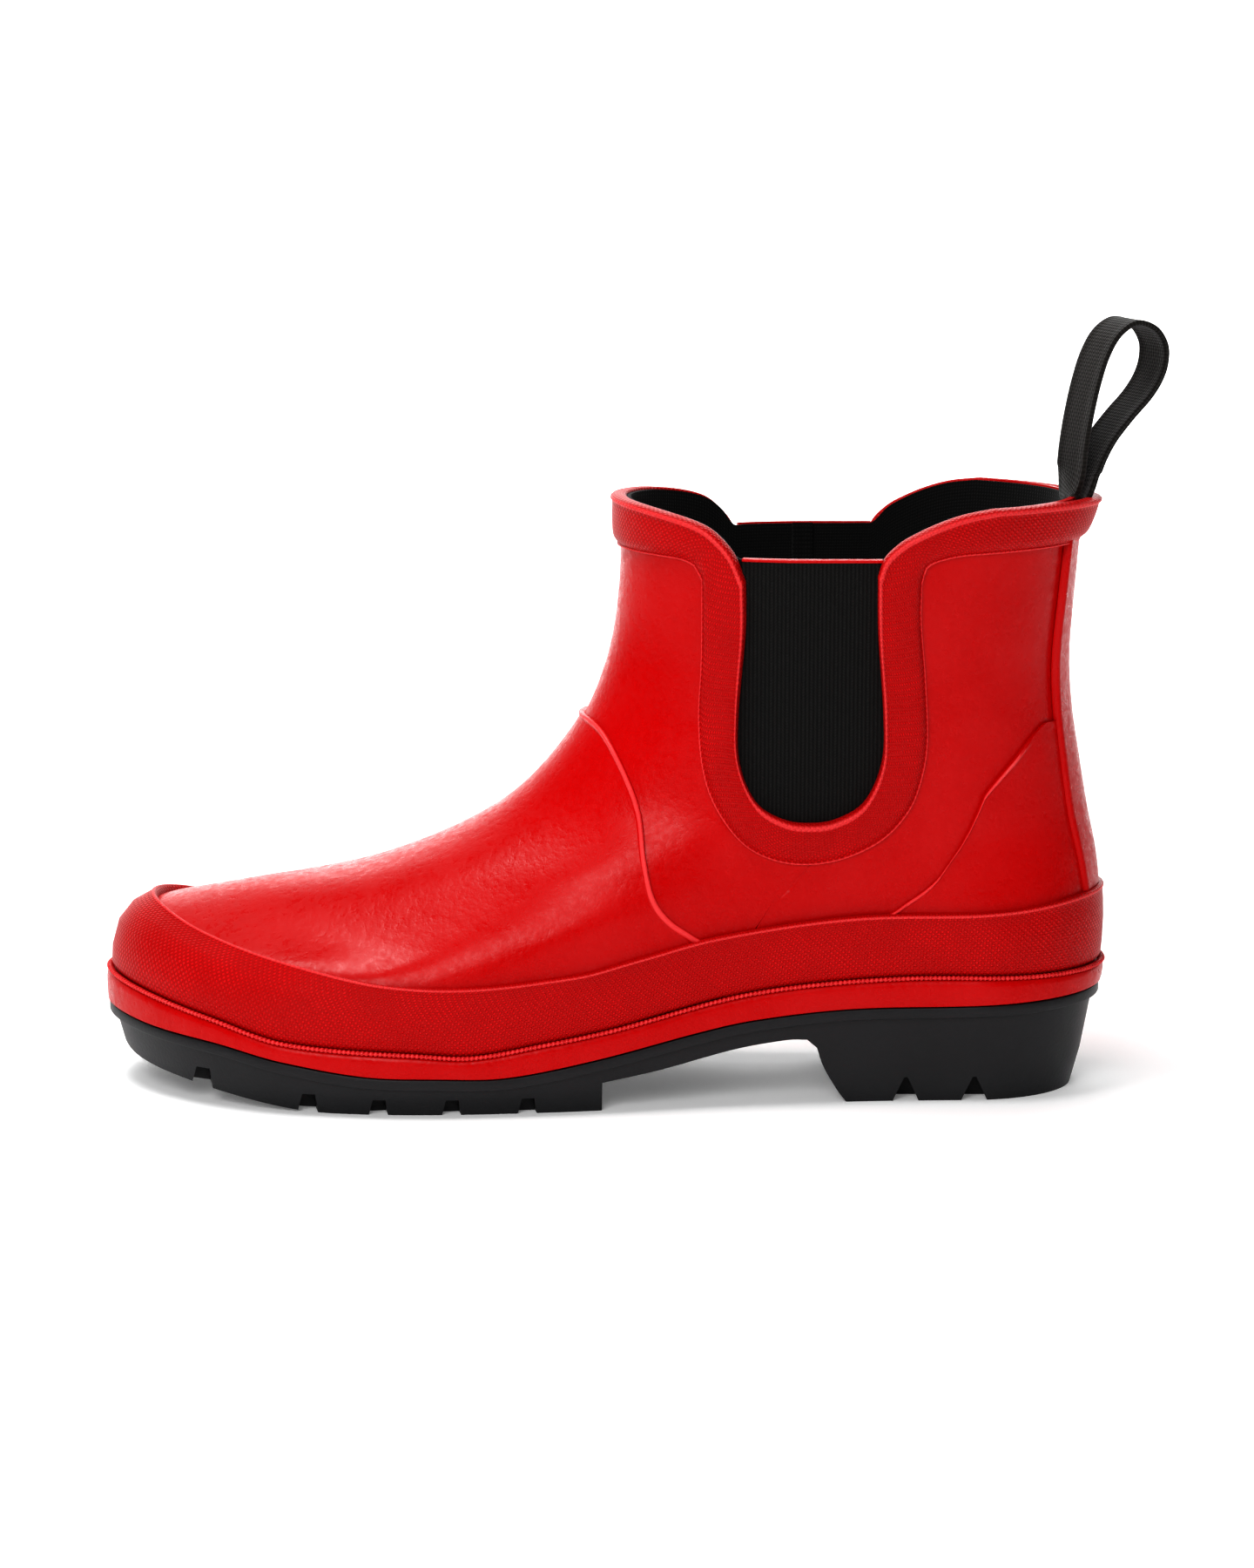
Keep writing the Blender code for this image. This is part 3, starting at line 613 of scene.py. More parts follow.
FLOOR_SIZE = 10
SWEEP_DEPTH, SWEEP_HEIGHT, SWEEP_ROUND = 2.2, 3.0, 1.0
NEAR = 0.1
bpy.ops.object.select_all(action="DESELECT")
bpy.ops.mesh.primitive_plane_add(size=FLOOR_SIZE, location=(0, SWEEP_DEPTH - FLOOR_SIZE / 2, 0))
floor = bpy.context.object
floor.name = "floor"
bpy.ops.object.transform_apply(location=True)
bpy.ops.object.mode_set(mode="EDIT")
bpy.ops.mesh.select_mode(type="EDGE")
bpy.ops.mesh.select_all(action="DESELECT")
bpy.ops.object.mode_set(mode="OBJECT")
select_edges(floor, lambda point: point.y > SWEEP_DEPTH - NEAR)
bpy.ops.object.mode_set(mode="EDIT")
bpy.ops.mesh.extrude_region_move(TRANSFORM_OT_translate={"value": (0, 0, SWEEP_HEIGHT)})
bpy.ops.object.mode_set(mode="OBJECT")
select_edges(floor, lambda point: point.y > SWEEP_DEPTH - NEAR and point.z < NEAR)
bpy.ops.object.mode_set(mode="EDIT")
bpy.ops.mesh.bevel(offset=SWEEP_ROUND, segments=16)
bpy.ops.object.mode_set(mode="OBJECT")
bpy.ops.object.shade_smooth()
floor.data.materials.append(white_paper())
print("floor", len(floor.data.polygons), "faces")

# %% [markdown]
# ## Lamps
# Gloss is shown by what it reflects. A soft box overhead lays the long highlight on the toe, and a weaker
# one above the camera lights the side. The third lamp hangs behind the boot and looks away from it: it
# only whitens the paper, because any stronger light on the boot would wash the red out.

# %% Lights
MIDDLE = (-0.0906, 0, 0.084)
# name, place, what it is aimed at, size, watts
LAMPS = (
    ("overhead_box", (-0.42, -0.10, 1.2), MIDDLE, (0.7, 0.35), 8),
    ("camera_box", (-0.45, -1.5, 0.95), MIDDLE, (0.8, 0.8), 12),
    ("sweep_box", (0.0, 1.2, 1.6), (0, 2.3, 0.7), (2.0, 0.5), 45),
)
ROOM_LIGHT = 0.15


def facing(place, aim):
    """The rotation that turns a lamp or a camera at place towards aim."""
    return mathutils.Vector(np.subtract(aim, place)).to_track_quat("-Z", "Y").to_euler()


def soft_box(name, place, aim, size, watts):
    light = bpy.data.lights.new(name, "AREA")
    light.shape = "RECTANGLE"
    light.size, light.size_y = size
    light.energy = watts
    lamp = bpy.data.objects.new(name, light)
    bpy.context.collection.objects.link(lamp)
    lamp.location = place
    lamp.rotation_euler = facing(place, aim)
    print(name, watts, "W")


for lamp_values in LAMPS:
    soft_box(*lamp_values)
world = bpy.data.worlds.new("room")
bpy.context.scene.world = world
world.use_nodes = True
world.node_tree.nodes["Background"].inputs["Color"].default_value = (1, 1, 1, 1)
world.node_tree.nodes["Background"].inputs["Strength"].default_value = ROOM_LIGHT
bpy.context.scene.view_settings.view_transform = "Standard"
bpy.context.scene.view_settings.look = "High Contrast"

# %% [markdown]
# ## Camera
# The camera stands on the boot's outer side, a little above it, and far enough away for a long lens,
# which keeps the outline close to a plain side view.

# %% Camera
CAMERA_PLACE, LENS = (-0.0906, -1.6, 0.370), 133.8
camera = bpy.data.objects.new("camera", bpy.data.cameras.new("camera"))
bpy.context.collection.objects.link(camera)
bpy.context.scene.camera = camera
camera.location = CAMERA_PLACE
camera.rotation_euler = facing(CAMERA_PLACE, MIDDLE)
camera.data.lens = LENS
print("camera", camera.location)

# %% [markdown]
# ## The vamp
# The front sheet wraps the toe from edge to edge of the sole and ends in a raised bead that curves down
# beside the gore. A sheet could be cut from a finished foot form by a Boolean; laying it column by column
# from the sole up to its own edge keeps the faces in line with the bead, so the bead stays round and
# even.


# %% Edges of the panels
def edge_at(outline):
    """x of an outline's edge at height z, for an outline that runs from its high end down."""
    points = smooth(outline)[::-1]
    return lambda z: np.interp(z, points[:, 1], points[:, 0])


def panel_top(angle, inside, low=0.0, high=8.0):
    """The u at which each angle's upright line leaves a panel, by inside(points)."""
    return last_true(lambda u: inside(surface(u, angle)), low, high, angle.shape)[0]


def climb(u, angle):
    """Millimetres of surface for each ring of u."""
    return np.linalg.norm(surface(u + 0.02, angle) - surface(u - 0.02, angle), axis=-1) / 0.04


def panel(name, angles, low, high, base, face, bead, steps=64, full=1):
    """Closed sheet from level low to level high on each angle.

    bead holds (distance from the top, height over the face), and full each angle's share of it."""
    full = np.broadcast_to(full, angles.shape)[:, None]
    angles = angles[:, None]
    low, high = low[:, None], high[:, None]
    pitch = climb(np.maximum(high - 0.1, 0), angles)
    back, rise = np.array(bead, float).T
    edge = np.maximum(high - back / pitch, low)
    part = np.linspace(0, 1, steps)
    u = np.hstack((mix(low, edge[:, :1], part[:-1]), edge, mix(high, low, part[::4]), low))
    rise = np.where(rise > 0, rise * full, rise)
    under = np.full_like(u[:, :len(part[::4])], base)
    flat = np.full_like(u[:, :steps - 1], face)
    rises = np.hstack((flat, face + rise, under, np.full_like(full, face)))
    # the bead's crest gets a painted highlight
    lip = (rises > face + 0.3) * full
    return strip(name, laid(u, angles, rises), lip=lip)


# %% Vamp
SHELL = 1.5
PANEL_BEAD = (
    (2.2, 0), (1.75, 0.02), (1.45, 0.32), (1.05, 0.68), (0.6, 0.72), (0.25, 0.42), (0.05, 0), (0, -0.4),
    (0, -1.0),
)
VAMP_FACE, VAMP_REACH = 0.8, 1.84
VAMP_RIDGE = (
    (-104, 104.6), (-99.7, 104), (-95.5, 100.5), (-90, 90.6), (-86.6, 81), (-85.3, 69), (-83.2, 59.5),
    (-79, 53.3), (-73, 48.8), (-66, 44), (-60, 36), (-56, 0),
)
vamp_edge = edge_at(VAMP_RIDGE)


def in_vamp(points):
    return (points[..., 0] < vamp_edge(points[..., 2])) & (points[..., 2] < VAMP_RIDGE[0][1])


vamp_angles = np.linspace(-VAMP_REACH, VAMP_REACH, 301)
vamp_high = panel_top(vamp_angles, in_vamp)
vamp = panel("vamp_sheet", vamp_angles, 0 * vamp_high, vamp_high, -SHELL, VAMP_FACE, PANEL_BEAD,
             steps=97)
place(vamp, RED_GLOSS, "red_gloss", "vamp")

# %% [markdown]
# ## The shaft
# The rear sheet runs from the vamp round the ankle and up to the collar, with a U-shaped opening on each
# side for the elastic. It is laid like the vamp, and one prism through both sides cuts the openings.

# %% Shaft
FRONT_TOPLINE = (
    (-93, 165.5), (-85, 164.6), (-75, 162.6), (-69, 160.4), (-65, 157.2), (-61.5, 152.8), (-58.6, 146),
)
BACK_TOPLINE = (
    (-22.6, 148), (-20.8, 152.9), (-16.6, 157.0), (-12.0, 159.6), (-6, 162.2), (1, 164.3), (9, 165.5),
)
GORE_EDGE = (
    (-58.6, 146), (-58.6, 132), (-60.3, 110), (-60, 96), (-55.5, 85), (-48, 80), (-40.5, 78.8), (-33, 80),
    (-25.5, 85), (-21, 96), (-20.7, 110), (-22.3, 132), (-22.6, 148),
)
GORE_MIDDLE = -40.5
# the hole in the sheet is wider and lower than the trim's edge, and runs out over the collar
OPENING_WIDER, OPENING_LOWER, OPENING_ROOF = 1.03, 0.6, [(-21.9, 180), (-59.3, 180)]
SHAFT_EDGE = ((1.0, 0), (0, 0), (0, -1.0))


def prism(name, outline, low=-120, high=120):
    """Solid over a side-view outline of (x, z) points, from low to high across the boot."""
    bpy.ops.object.select_all(action="DESELECT")
    bpy.ops.mesh.primitive_circle_add(vertices=len(outline), fill_type="NGON")
    obj = bpy.context.object
    obj.name = name
    for vertex, (x, z) in zip(obj.data.vertices, outline):
        vertex.co = (x * MM, low * MM, z * MM)
    bpy.ops.object.mode_set(mode="EDIT")
    bpy.ops.mesh.select_all(action="SELECT")
    bpy.ops.mesh.extrude_region_move(TRANSFORM_OT_translate={"value": (0, (high - low) * MM, 0)})
    bpy.ops.mesh.select_all(action="SELECT")
    bpy.ops.mesh.normals_make_consistent(inside=False)
    bpy.ops.object.mode_set(mode="OBJECT")
    return obj


def carve(obj, cutter, solver="EXACT"):
    """Cuts a solid by a cutter, and removes the cutter."""
    only(obj)
    modifier = obj.modifiers.new(cutter.name, "BOOLEAN")
    modifier.solver = solver
    modifier.object = cutter
    bpy.ops.object.modifier_apply(modifier=modifier.name)
    bpy.data.objects.remove(cutter)


TOPLINE = FRONT_TOPLINE + BACK_TOPLINE
gore_outline = smooth(GORE_EDGE)
gore_foot = gore_outline[:, 1].argmin()
GORE_FRONT, GORE_BACK = gore_outline[:gore_foot + 1][::-1], gore_outline[gore_foot:]

shaft_angles = np.linspace(-math.pi, math.pi, 361)
shaft_low = np.maximum(panel_top(shaft_angles, in_vamp) - 0.05, 0)
shaft_low[np.abs(shaft_angles) > VAMP_REACH] = 0
shaft_high = level_at(shaft_angles, TOPLINE, low=7)
shaft = panel("shaft_sheet", shaft_angles, shaft_low, shaft_high, -SHELL, 0.0, SHAFT_EDGE, steps=97)
opening = [
    (GORE_MIDDLE + (x - GORE_MIDDLE) * OPENING_WIDER, z - OPENING_LOWER) for x, z in gore_outline
]
carve(shaft, prism("gore_opening", opening + OPENING_ROOF), solver="MANIFOLD")
shade(shaft, 50)
place(shaft, RED_GLOSS, "red_gloss", "shaft")

# %% [markdown]
# ## Heel counter
# A second sheet stiffens the heel, with the same beaded edge as the vamp, and its top curves up from the
# foxing to the back. The bead fades out beside the back stay, which would otherwise show it as a bump.

# %% Heel counter
COUNTER_RIDGE = (
    (24, 104.5), (20.5, 101.5), (14.3, 94.4), (6.1, 85), (2.6, 76), (-0.8, 68.7), (-7.5, 61), (-18, 53.5),
    (-22, 45),
)
COUNTER_FACE, COUNTER_REACH = 1.0, 1.35
COUNTER_FOOT, COUNTER_LEAST, COUNTER_MOST = 2.6, 2.7, 8
COUNTER_BEAD = PANEL_BEAD[:-1] + ((0, -0.9),)
counter_edge = edge_at(COUNTER_RIDGE)


def in_counter(points):
    return (points[..., 0] > counter_edge(points[..., 2])) & (points[..., 2] < COUNTER_RIDGE[0][1])


def out_of_counter(angle):
    """The level where each angle's upright line leaves the counter, or its foot where it never enters."""
    samples = np.linspace(COUNTER_FOOT, COUNTER_MOST, 271)
    held = in_counter(surface(samples[:, None], angle[None]))
    last = np.where(held.any(0), len(samples) - 1 - held[::-1].argmax(0), 0)
    return samples[last]


counter_angles = np.linspace(math.pi - COUNTER_REACH, math.pi + COUNTER_REACH, 241)
counter_high = out_of_counter(counter_angles)
used = counter_high > COUNTER_LEAST
counter_angles, counter_high = counter_angles[used], counter_high[used]
counter_high = np.convolve(np.pad(counter_high, 2, mode="edge"), np.full(5, 0.2), mode="valid")
beside_stay = ease((np.abs(counter_angles - math.pi) - 0.55) / 0.16)
counter = panel("heel_counter_sheet", counter_angles, 0 * counter_high + COUNTER_FOOT, counter_high, 0.02,
                COUNTER_FACE, COUNTER_BEAD, steps=65, full=beside_stay)
place(counter, RED_GLOSS, "red_gloss", "heel_counter")

# %% [markdown]
# ## Back stay
# A narrow strip covers the seam up the back. It keeps its width all the way, so each level is first asked
# how far round it the strip's edge lies; half of the section is drawn, and the other half mirrors it.

# %% Back stay
STAY_HALF, STAY_FACE = 13.5, 2.1
STAY_FOOT, STAY_TOP = 3.02, 9.6
# (share of the way from the middle to the edge, height)
STAY_PROFILE = (
    (-1.0, 0.2), (-0.995, 1.6), (-0.97, 2.15), (-0.92, 2.3), (-0.87, 2.15), (-0.83, STAY_FACE),
    (-0.5, STAY_FACE + 0.1), (-0.25, STAY_FACE + 0.15), (0, STAY_FACE + 0.15),
)


def outside_stay(angle):
    return np.abs(surface(stay_u, angle)[..., 1]) > STAY_HALF


stay_u = np.linspace(STAY_FOOT, STAY_TOP, 181)
stay_share, stay_rise = np.array(STAY_PROFILE + tuple((-s, h) for s, h in STAY_PROFILE[-2::-1])).T
stay_edge = math.pi - last_true(outside_stay, math.pi / 2, math.pi, stay_u.shape)[0]
stay_angle = math.pi + stay_edge[:, None] * np.append(stay_share, stay_share[0])
stay_height = np.append(stay_rise, stay_rise[0])
stay = strip("back_stay_sheet", laid(stay_u[:, None], stay_angle, stay_height[None]))
place(stay, RED_GLOSS, "red_gloss", "back_stay")

# %% [markdown]
# ## Foxing, rib and welt
# The foxing is a stippled band that hides where the upper meets the sole. A row of small beads runs along
# its foot and a smooth strip below it. Bands like these come off a calender roll, so each is one profile
# swept right round.


# %% Bands round the boot
def band(name, low, high, profile, lip_over, count=720):
    """Closed band all round. A profile point is (share of the way up, millimetres further up, height)."""
    angles = np.linspace(-math.pi, math.pi, count + 1)[:, None]
    share, extra, rise = np.array(profile + profile[:1], float).T
    u = mix(low, high, share[None])
    u = u + extra[None] / climb(np.clip(u, 0.1, None), angles)
    # steps that stand higher than lip_over get a painted highlight
    return strip(name, laid(np.maximum(u, 0), angles, rise), lip=rise > lip_over)


FOXING_FACE = 3.2
FOXING_PROFILE = (
    (0, 0.6, 0.2), (0, 0.6, 2.3), (0, 1.3, 2.9), (0, 1.9, 3.05), (0.25, 0, FOXING_FACE),
    (0.5, 0, FOXING_FACE + 0.1), (0.75, 0, FOXING_FACE), (1, -1.6, 3.1), (1, -1.2, 3.2), (1, -0.9, 3.45),
    (1, -0.5, 3.5), (1, -0.15, 3.3), (1, 0.05, 2.9), (1, 0.1, 2.2), (1, 0, 0.4),
)
WELT_PROFILE = (
    (0, 0, 0.2), (0, 0, 4.0), (0, 0.5, 4.2), (0.4, 0, 4.25), (0.8, -0.5, 4.2), (1, -1.0, 4.0),
    (1, -0.6, 3.7), (1, -0.4, 3.0), (1, -0.4, 0.2),
)
foxing = band("foxing_strip", RIB, FOXING_TOP, FOXING_PROFILE, lip_over=3.4)
place(foxing, RED_STIPPLE, "red_stipple", "foxing_band")
welt = band("welt_strip_smooth", SOLE_EDGE, RIB, WELT_PROFILE, lip_over=9)
place(welt, RED_GLOSS, "red_gloss", "welt_strip")

# %% [markdown]
# ## Rib of beads
# Where foxing and welt meet runs a string of small beads. A separate sphere for each would be heavy and
# would float; a thin round band that swells and shrinks once for every bead is one solid, and its beads
# melt together as moulded ones do.

# %% Rib of beads
BEAD_PITCH, BEAD_STEPS = 1.25, 6
RIB_HEIGHT = 3.35
rib_angles = np.linspace(-math.pi, math.pi, 4097)
rib_run = np.linalg.norm(np.diff(laid(np.ones(4097), rib_angles, 3.4), axis=0), axis=1)
rib_run = np.concatenate(([0], np.cumsum(rib_run)))
bead_count = round(rib_run[-1] / BEAD_PITCH)
bead_part = np.arange(bead_count * BEAD_STEPS + 1)
rib_at = np.interp(bead_part / (bead_count * BEAD_STEPS), rib_run / rib_run[-1], rib_angles)
swell = np.abs(np.sin(np.pi * bead_part / BEAD_STEPS))[:, None]
around_rib = np.radians((-100, -50, 0, 50, 100, 180))
rib_rise = RIB_HEIGHT + (0.7 + 0.4 * swell) * np.cos(around_rib)
rib_up = 0.1 + (0.5 + 0.15 * swell) * np.sin(around_rib)
rib_rise, rib_up = (np.hstack((part, part[:, :1])) for part in (rib_rise, rib_up))
rib_u = 1 + rib_up / climb(np.ones(len(rib_at)), rib_at)[:, None]
# the beads' crests get a painted highlight
rib = strip("foxing_rib", laid(rib_u, rib_at[:, None], rib_rise), lip=rib_rise > 4.0)
place(rib, RED_STIPPLE, "red_stipple")
print(bead_count, "beads on the rib")

# %% [markdown]
# ## Collar bindings and gore trims
# One stippled band follows the whole upper edge: over the instep, down round each gore and up again to
# the heel. It has a fine rolled lip on its free edge, a flat face, and a soft bevel where it dies into
# the sheet. It is laid in four lengths that meet at mitres, each between two edge lines on the last.

# %% Edge lines
TRIM_EDGE = (
    (-70, 146), (-70.2, 124), (-71, 107), (-69.8, 93), (-66, 82.5), (-59, 73.5), (-50.5, 68.8), (-41, 67.4),
    (-31, 69), (-21.5, 73.5), (-15, 80), (-11, 88), (-8.7, 100.5), (-9.4, 118.5), (-10.8, 135), (-10.8, 146),
)
FRONT_BAND = ((-130, 151.5), (-79, 151.5), (-72.5, 150), (-70, 146))
BACK_BAND = ((-10.8, 146), (-9.6, 150), (-5, 152.3), (3, 153.3), (60, 153.3))
FRONT_MITRE = ((-70, 146), (-64.8, 157))
BACK_MITRE = ((-10.8, 146), (-17, 156.7))
COLLAR_FLARE = 4.8

# (millimetres in from the free edge, height), and the same in from the far edge for the bevel
LIP = (
    (0.35, -1.7), (-0.05, -1.5), (-0.3, -0.6), (-0.3, 1.2), (-0.1, 2.15), (0.35, 2.65), (0.85, 2.7),
    (1.25, 2.45), (1.55, 2.2),
)
BEVEL = (
    (3.8, 2.2), (3.1, 2.12), (2.3, 1.85), (1.5, 1.35), (0.95, 0.85), (0.7, 0.75), (0.45, 0.98),
    (0.15, 0.95), (0.0, 0.6), (-0.05, 0.02),
)
# heights of the lip's crest and the bevel's ridge, which get a painted highlight
HIGHLIGHT_HEIGHTS = (2.65, 2.7, 2.45, 0.98, 0.95)
FACE_HEIGHT, FACE_CROWN = 2.2, 0.12


def flare(u, angle):
    """How far the back binding stands off, where the pull loop's end is tucked in."""
    near_back = np.exp(-((np.abs(angle) - math.pi) / 0.42) ** 2)
    height = np.clip((u - 9.45) / 0.55, 0, 1)
    return COLLAR_FLARE * near_back * height ** 0.6


def edging(name, free, far, flared=False):
    """Band between two edge lines, each an array of (u, angle) of the same length."""
    across = np.linalg.norm(surface(*free.T) - surface(*far.T), axis=-1)[:, None]
    lip, bevel = np.array(LIP), np.array(BEVEL)
    face = np.linspace(0, 1, 8)[1:-1]
    start, stop = lip[-1, 0] / across, 1 - bevel[0, 0] / across
    middle = start + (stop - start) * face
    crown = FACE_HEIGHT + FACE_CROWN * np.sin(np.pi * face)
    beyond = np.full_like(across, 0.6)
    share = np.hstack((lip[:, 0] / across, middle, 1 - bevel[:, 0] / across, beyond))
    rise = np.hstack((lip[:, 1], crown, bevel[:, 1], [-0.2]))
    share, rise = np.hstack((share, share[:, :1])), np.append(rise, rise[0])
    u = mix(free[:, :1], far[:, :1], share)
    angle = mix(free[:, 1:], far[:, 1:], share)
    lip = np.isin(rise, HIGHLIGHT_HEIGHTS)
    if flared:
        rise = rise + flare(u, angle)
    return strip(name, laid(u, angle, rise), lip=lip)


def between(line, z_low, z_high):
    points = smooth(line)
    return points[(points[:, 1] >= z_low) & (points[:, 1] <= z_high)]


# %% [markdown]
# ## Gore trims
# Each trim is a U-shaped collar round one gore. The rows run from its free edge, which follows the
# opening, out to a wider U, and both edges are stepped off in the same number of even stations, so that
# no row leans.

# %% Gore trims
front_top = between(FRONT_TOPLINE, 146.01, FRONT_MITRE[1][1])
back_top = between(BACK_TOPLINE, 148.01, BACK_MITRE[1][1])
trim_free = np.vstack((FRONT_MITRE[1], front_top, gore_outline, back_top, BACK_MITRE[1]))
TRIM_STATIONS = 321
for side_name, side in SIDES:
    free = np.stack(side_view(spaced(trim_free, TRIM_STATIONS), side), axis=-1)
    far = np.stack(side_view(spaced(smooth(TRIM_EDGE), TRIM_STATIONS), side), axis=-1)
    trim = edging(f"gore_trim_{side_name}_band", free, far)
    place(trim, RED_STIPPLE, "red_stipple", f"gore_trim_{side_name}")

# %% [markdown]
# ## Collar bindings
# The same band goes over the instep in front and round the heel behind, and its ends meet the trims at
# mitres. At the back it stands off a little, since the pull loop's end is tucked in under it.

# %% Collar bindings
free_front, far_front = (side_view(np.array([FRONT_MITRE[k]]), 1)[1][0] for k in (1, 0))
free_back, far_back = (side_view(np.array([BACK_MITRE[k]]), 1)[1][0] for k in (1, 0))


def collar_lines(middle, free_reach, far_reach, free_line, far_line, count=321):
    part = np.linspace(-1, 1, count)
    free_angle, far_angle = middle + part * free_reach, middle + part * far_reach
    free = np.stack((level_at(free_angle, free_line, low=8, high=10.02), free_angle), axis=-1)
    far = np.stack((level_at(far_angle, far_line, low=8, high=10), far_angle), axis=-1)
    return free, far


front_lines = collar_lines(0, free_front, far_front, FRONT_TOPLINE, FRONT_BAND)
back_lines = collar_lines(math.pi, math.pi - free_back, math.pi - far_back, BACK_TOPLINE, BACK_BAND)
binding = edging("collar_binding_front_band", *front_lines)
place(binding, RED_STIPPLE, "red_stipple", "collar_binding_front")
binding = edging("collar_binding_back_band", *back_lines, flared=True)
place(binding, RED_STIPPLE, "red_stipple", "collar_binding_back")

# %% [markdown]
# ## Elastic gores
# Each gore is a patch of ribbed elastic webbing set behind the opening, with a narrow rubber tape along
# its raw top. The patch is laid row by row from the front edge of the opening to the back one, so its
# ribs run upright.

# %% Gores
GORE_TOP = 151.7
TAPE_TOP = 152.6
GORE_FACE = -0.35


def from_side(x, z, side):
    """(u, angle) of a grid given by its x and z in side view."""
    x, z = np.broadcast_arrays(x, z)
    return side_view(np.stack((x, z), axis=-1), side)


def gore_patch(side_name, side):
    heights = np.linspace(GORE_FRONT[0, 1] - OPENING_LOWER, GORE_TOP, 121)
    front = np.interp(heights + 1.0, GORE_FRONT[:, 1], GORE_FRONT[:, 0]) - 1.0
    back = np.interp(heights + 1.0, GORE_BACK[:, 1], GORE_BACK[:, 0]) + 1.0
    columns = np.arange(73)
    x = mix(front[:, None], back[:, None], np.linspace(0, 1, 73))
    z = np.broadcast_to(heights[:, None], x.shape)
    u, angle = from_side(x, z, side)
    both = np.hstack((columns, columns[::-6], [0]))
    face = np.hstack((np.full(73, GORE_FACE), np.full(13, -SHELL), [GORE_FACE]))
    uv = np.stack((x[:, both], z[:, both]), axis=-1)
    gore = strip(f"gore_{side_name}_elastic", laid(u[:, both], angle[:, both], face[None]), uv=uv)
    place(gore, ELASTIC, "black_elastic", f"gore_{side_name}")


def gore_tape(side_name, side):
    x = np.linspace(-59.5, -21.5, 97)[:, None]
    profile = np.array((
        (GORE_TOP + 0.1, -1.5), (GORE_TOP, -0.3), (GORE_TOP + 0.1, 0.0), (GORE_TOP + 0.3, 0.1),
        (TAPE_TOP - 0.3, 0.1), (TAPE_TOP - 0.1, 0), (TAPE_TOP, -0.5), (TAPE_TOP, -1.5),
        (GORE_TOP + 0.1, -1.5),
    ))
    u, angle = from_side(x, profile[:, 0], side)
    tape = strip(f"gore_tape_{side_name}_strip", laid(u, angle, profile[None, :, 1]))
    place(tape, RED_GLOSS, "red_gloss", f"gore_tape_{side_name}")


for side_name, side in SIDES:
    gore_patch(side_name, side)
    gore_tape(side_name, side)

# %% [markdown]
# ## Lining
# A knitted sock lines the boot and is what shows inside the collar. Its wall is laid inside the rubber,
# from the insole up to the topline, with a taped seam down the middle of each gore.

# %% Lining
LINING_TOP = FRONT_TOPLINE[:-1] + ((-58, 152.6), (-23, 152.6)) + BACK_TOPLINE[1:]
LINING_FOOT, LINING_THICK, BOARD_TOP = 0.3, 1.2, 2.4


def lining_face(u):
    """The sock's outer face lies close under the collar and leaves room for the stiffeners below."""
    return mix(-2.9, -1.8, np.clip(u - 8, 0, 1))


lining_angles = np.linspace(-math.pi, math.pi, 361)[:, None]
lining_high = level_at(lining_angles, LINING_TOP, low=7) - 0.02
part, part_down = np.linspace(0, 1, 41), np.linspace(1, 0, 81)
lining_u = np.hstack((mix(LINING_FOOT, lining_high, part), mix(LINING_FOOT, lining_high, part_down),
                      np.full(lining_high.shape, LINING_FOOT)))
inwards = np.hstack((np.zeros(41), np.full(81, LINING_THICK), [0]))
lining_points = laid(lining_u, lining_angles, lining_face(lining_u) - inwards)
floor_height = line_at(SOLE_LINE, lining_points[..., 0]) + BOARD_TOP
lining_points[..., 2] = np.maximum(lining_points[..., 2], floor_height)
lining = strip("lining_sock", lining_points)
place(lining, KNIT, "black_lining", "lining")


def seam_tape(side_name, side):
    """Narrow tape over the sock's seam, inside one gore."""
    z = np.linspace(84, 152.2, 61)[:, None]
    profile = np.array((
        (-3, 0.05), (-3, -0.45), (-2.2, -0.6), (-0.5, -0.65), (0, -0.45), (0.5, -0.65), (2.2, -0.6),
        (3, -0.45), (3, 0.05), (-3, 0.05),
    ))
    u, angle = from_side(-41 + profile[:, 0], z, side)
    rise = lining_face(u) - LINING_THICK + profile[None, :, 1]
    tape = strip(f"lining_seam_{side_name}", laid(u, angle, rise))
    place(tape, KNIT, "black_lining")


for side_name, side in SIDES:
    seam_tape(side_name, side)

# %% [markdown]
# ## Outsole
# The sole is moulded in one piece: a thin lip round the upper, a wall that leans in, an arch and cleated
# treads. It is laid in cross-sections from toe to heel, and the arch, the tread's side notches and the
# heel's are cut from it.

# %% Outsole
TOE_SPRING = (
    (-260, 22), (-237, 17.5), (-234, 12.8), (-229.5, 9.2), (-222, 7.3), (-212, 5.7), (-203, 4.1),
    (-190, 1.9), (-180, 0.5), (-172, 0),
)
FOREFOOT_END = (-97.5, 0)
ARCH_ROOF = ((-97.5, 8.4), (-80.6, 11.5), (-61, 16.4), (-47, 18.6), (-41, 18.6))
HEEL_BREAST = ((-38.3, 16.2), (-36.4, 10.5), (-32.6, 3.6), (-30, 0))
BELOW_SOLE = ((60, 0), (60, -20), (-260, -20))
FOREFOOT_GROOVES = (-212, -184, -165, -145, -124)
HEEL_GROOVES = (-13.5, 5.5)
NOTCH_DEPTH = 10
BESIDE = 70
JUST_UP = 1e-6


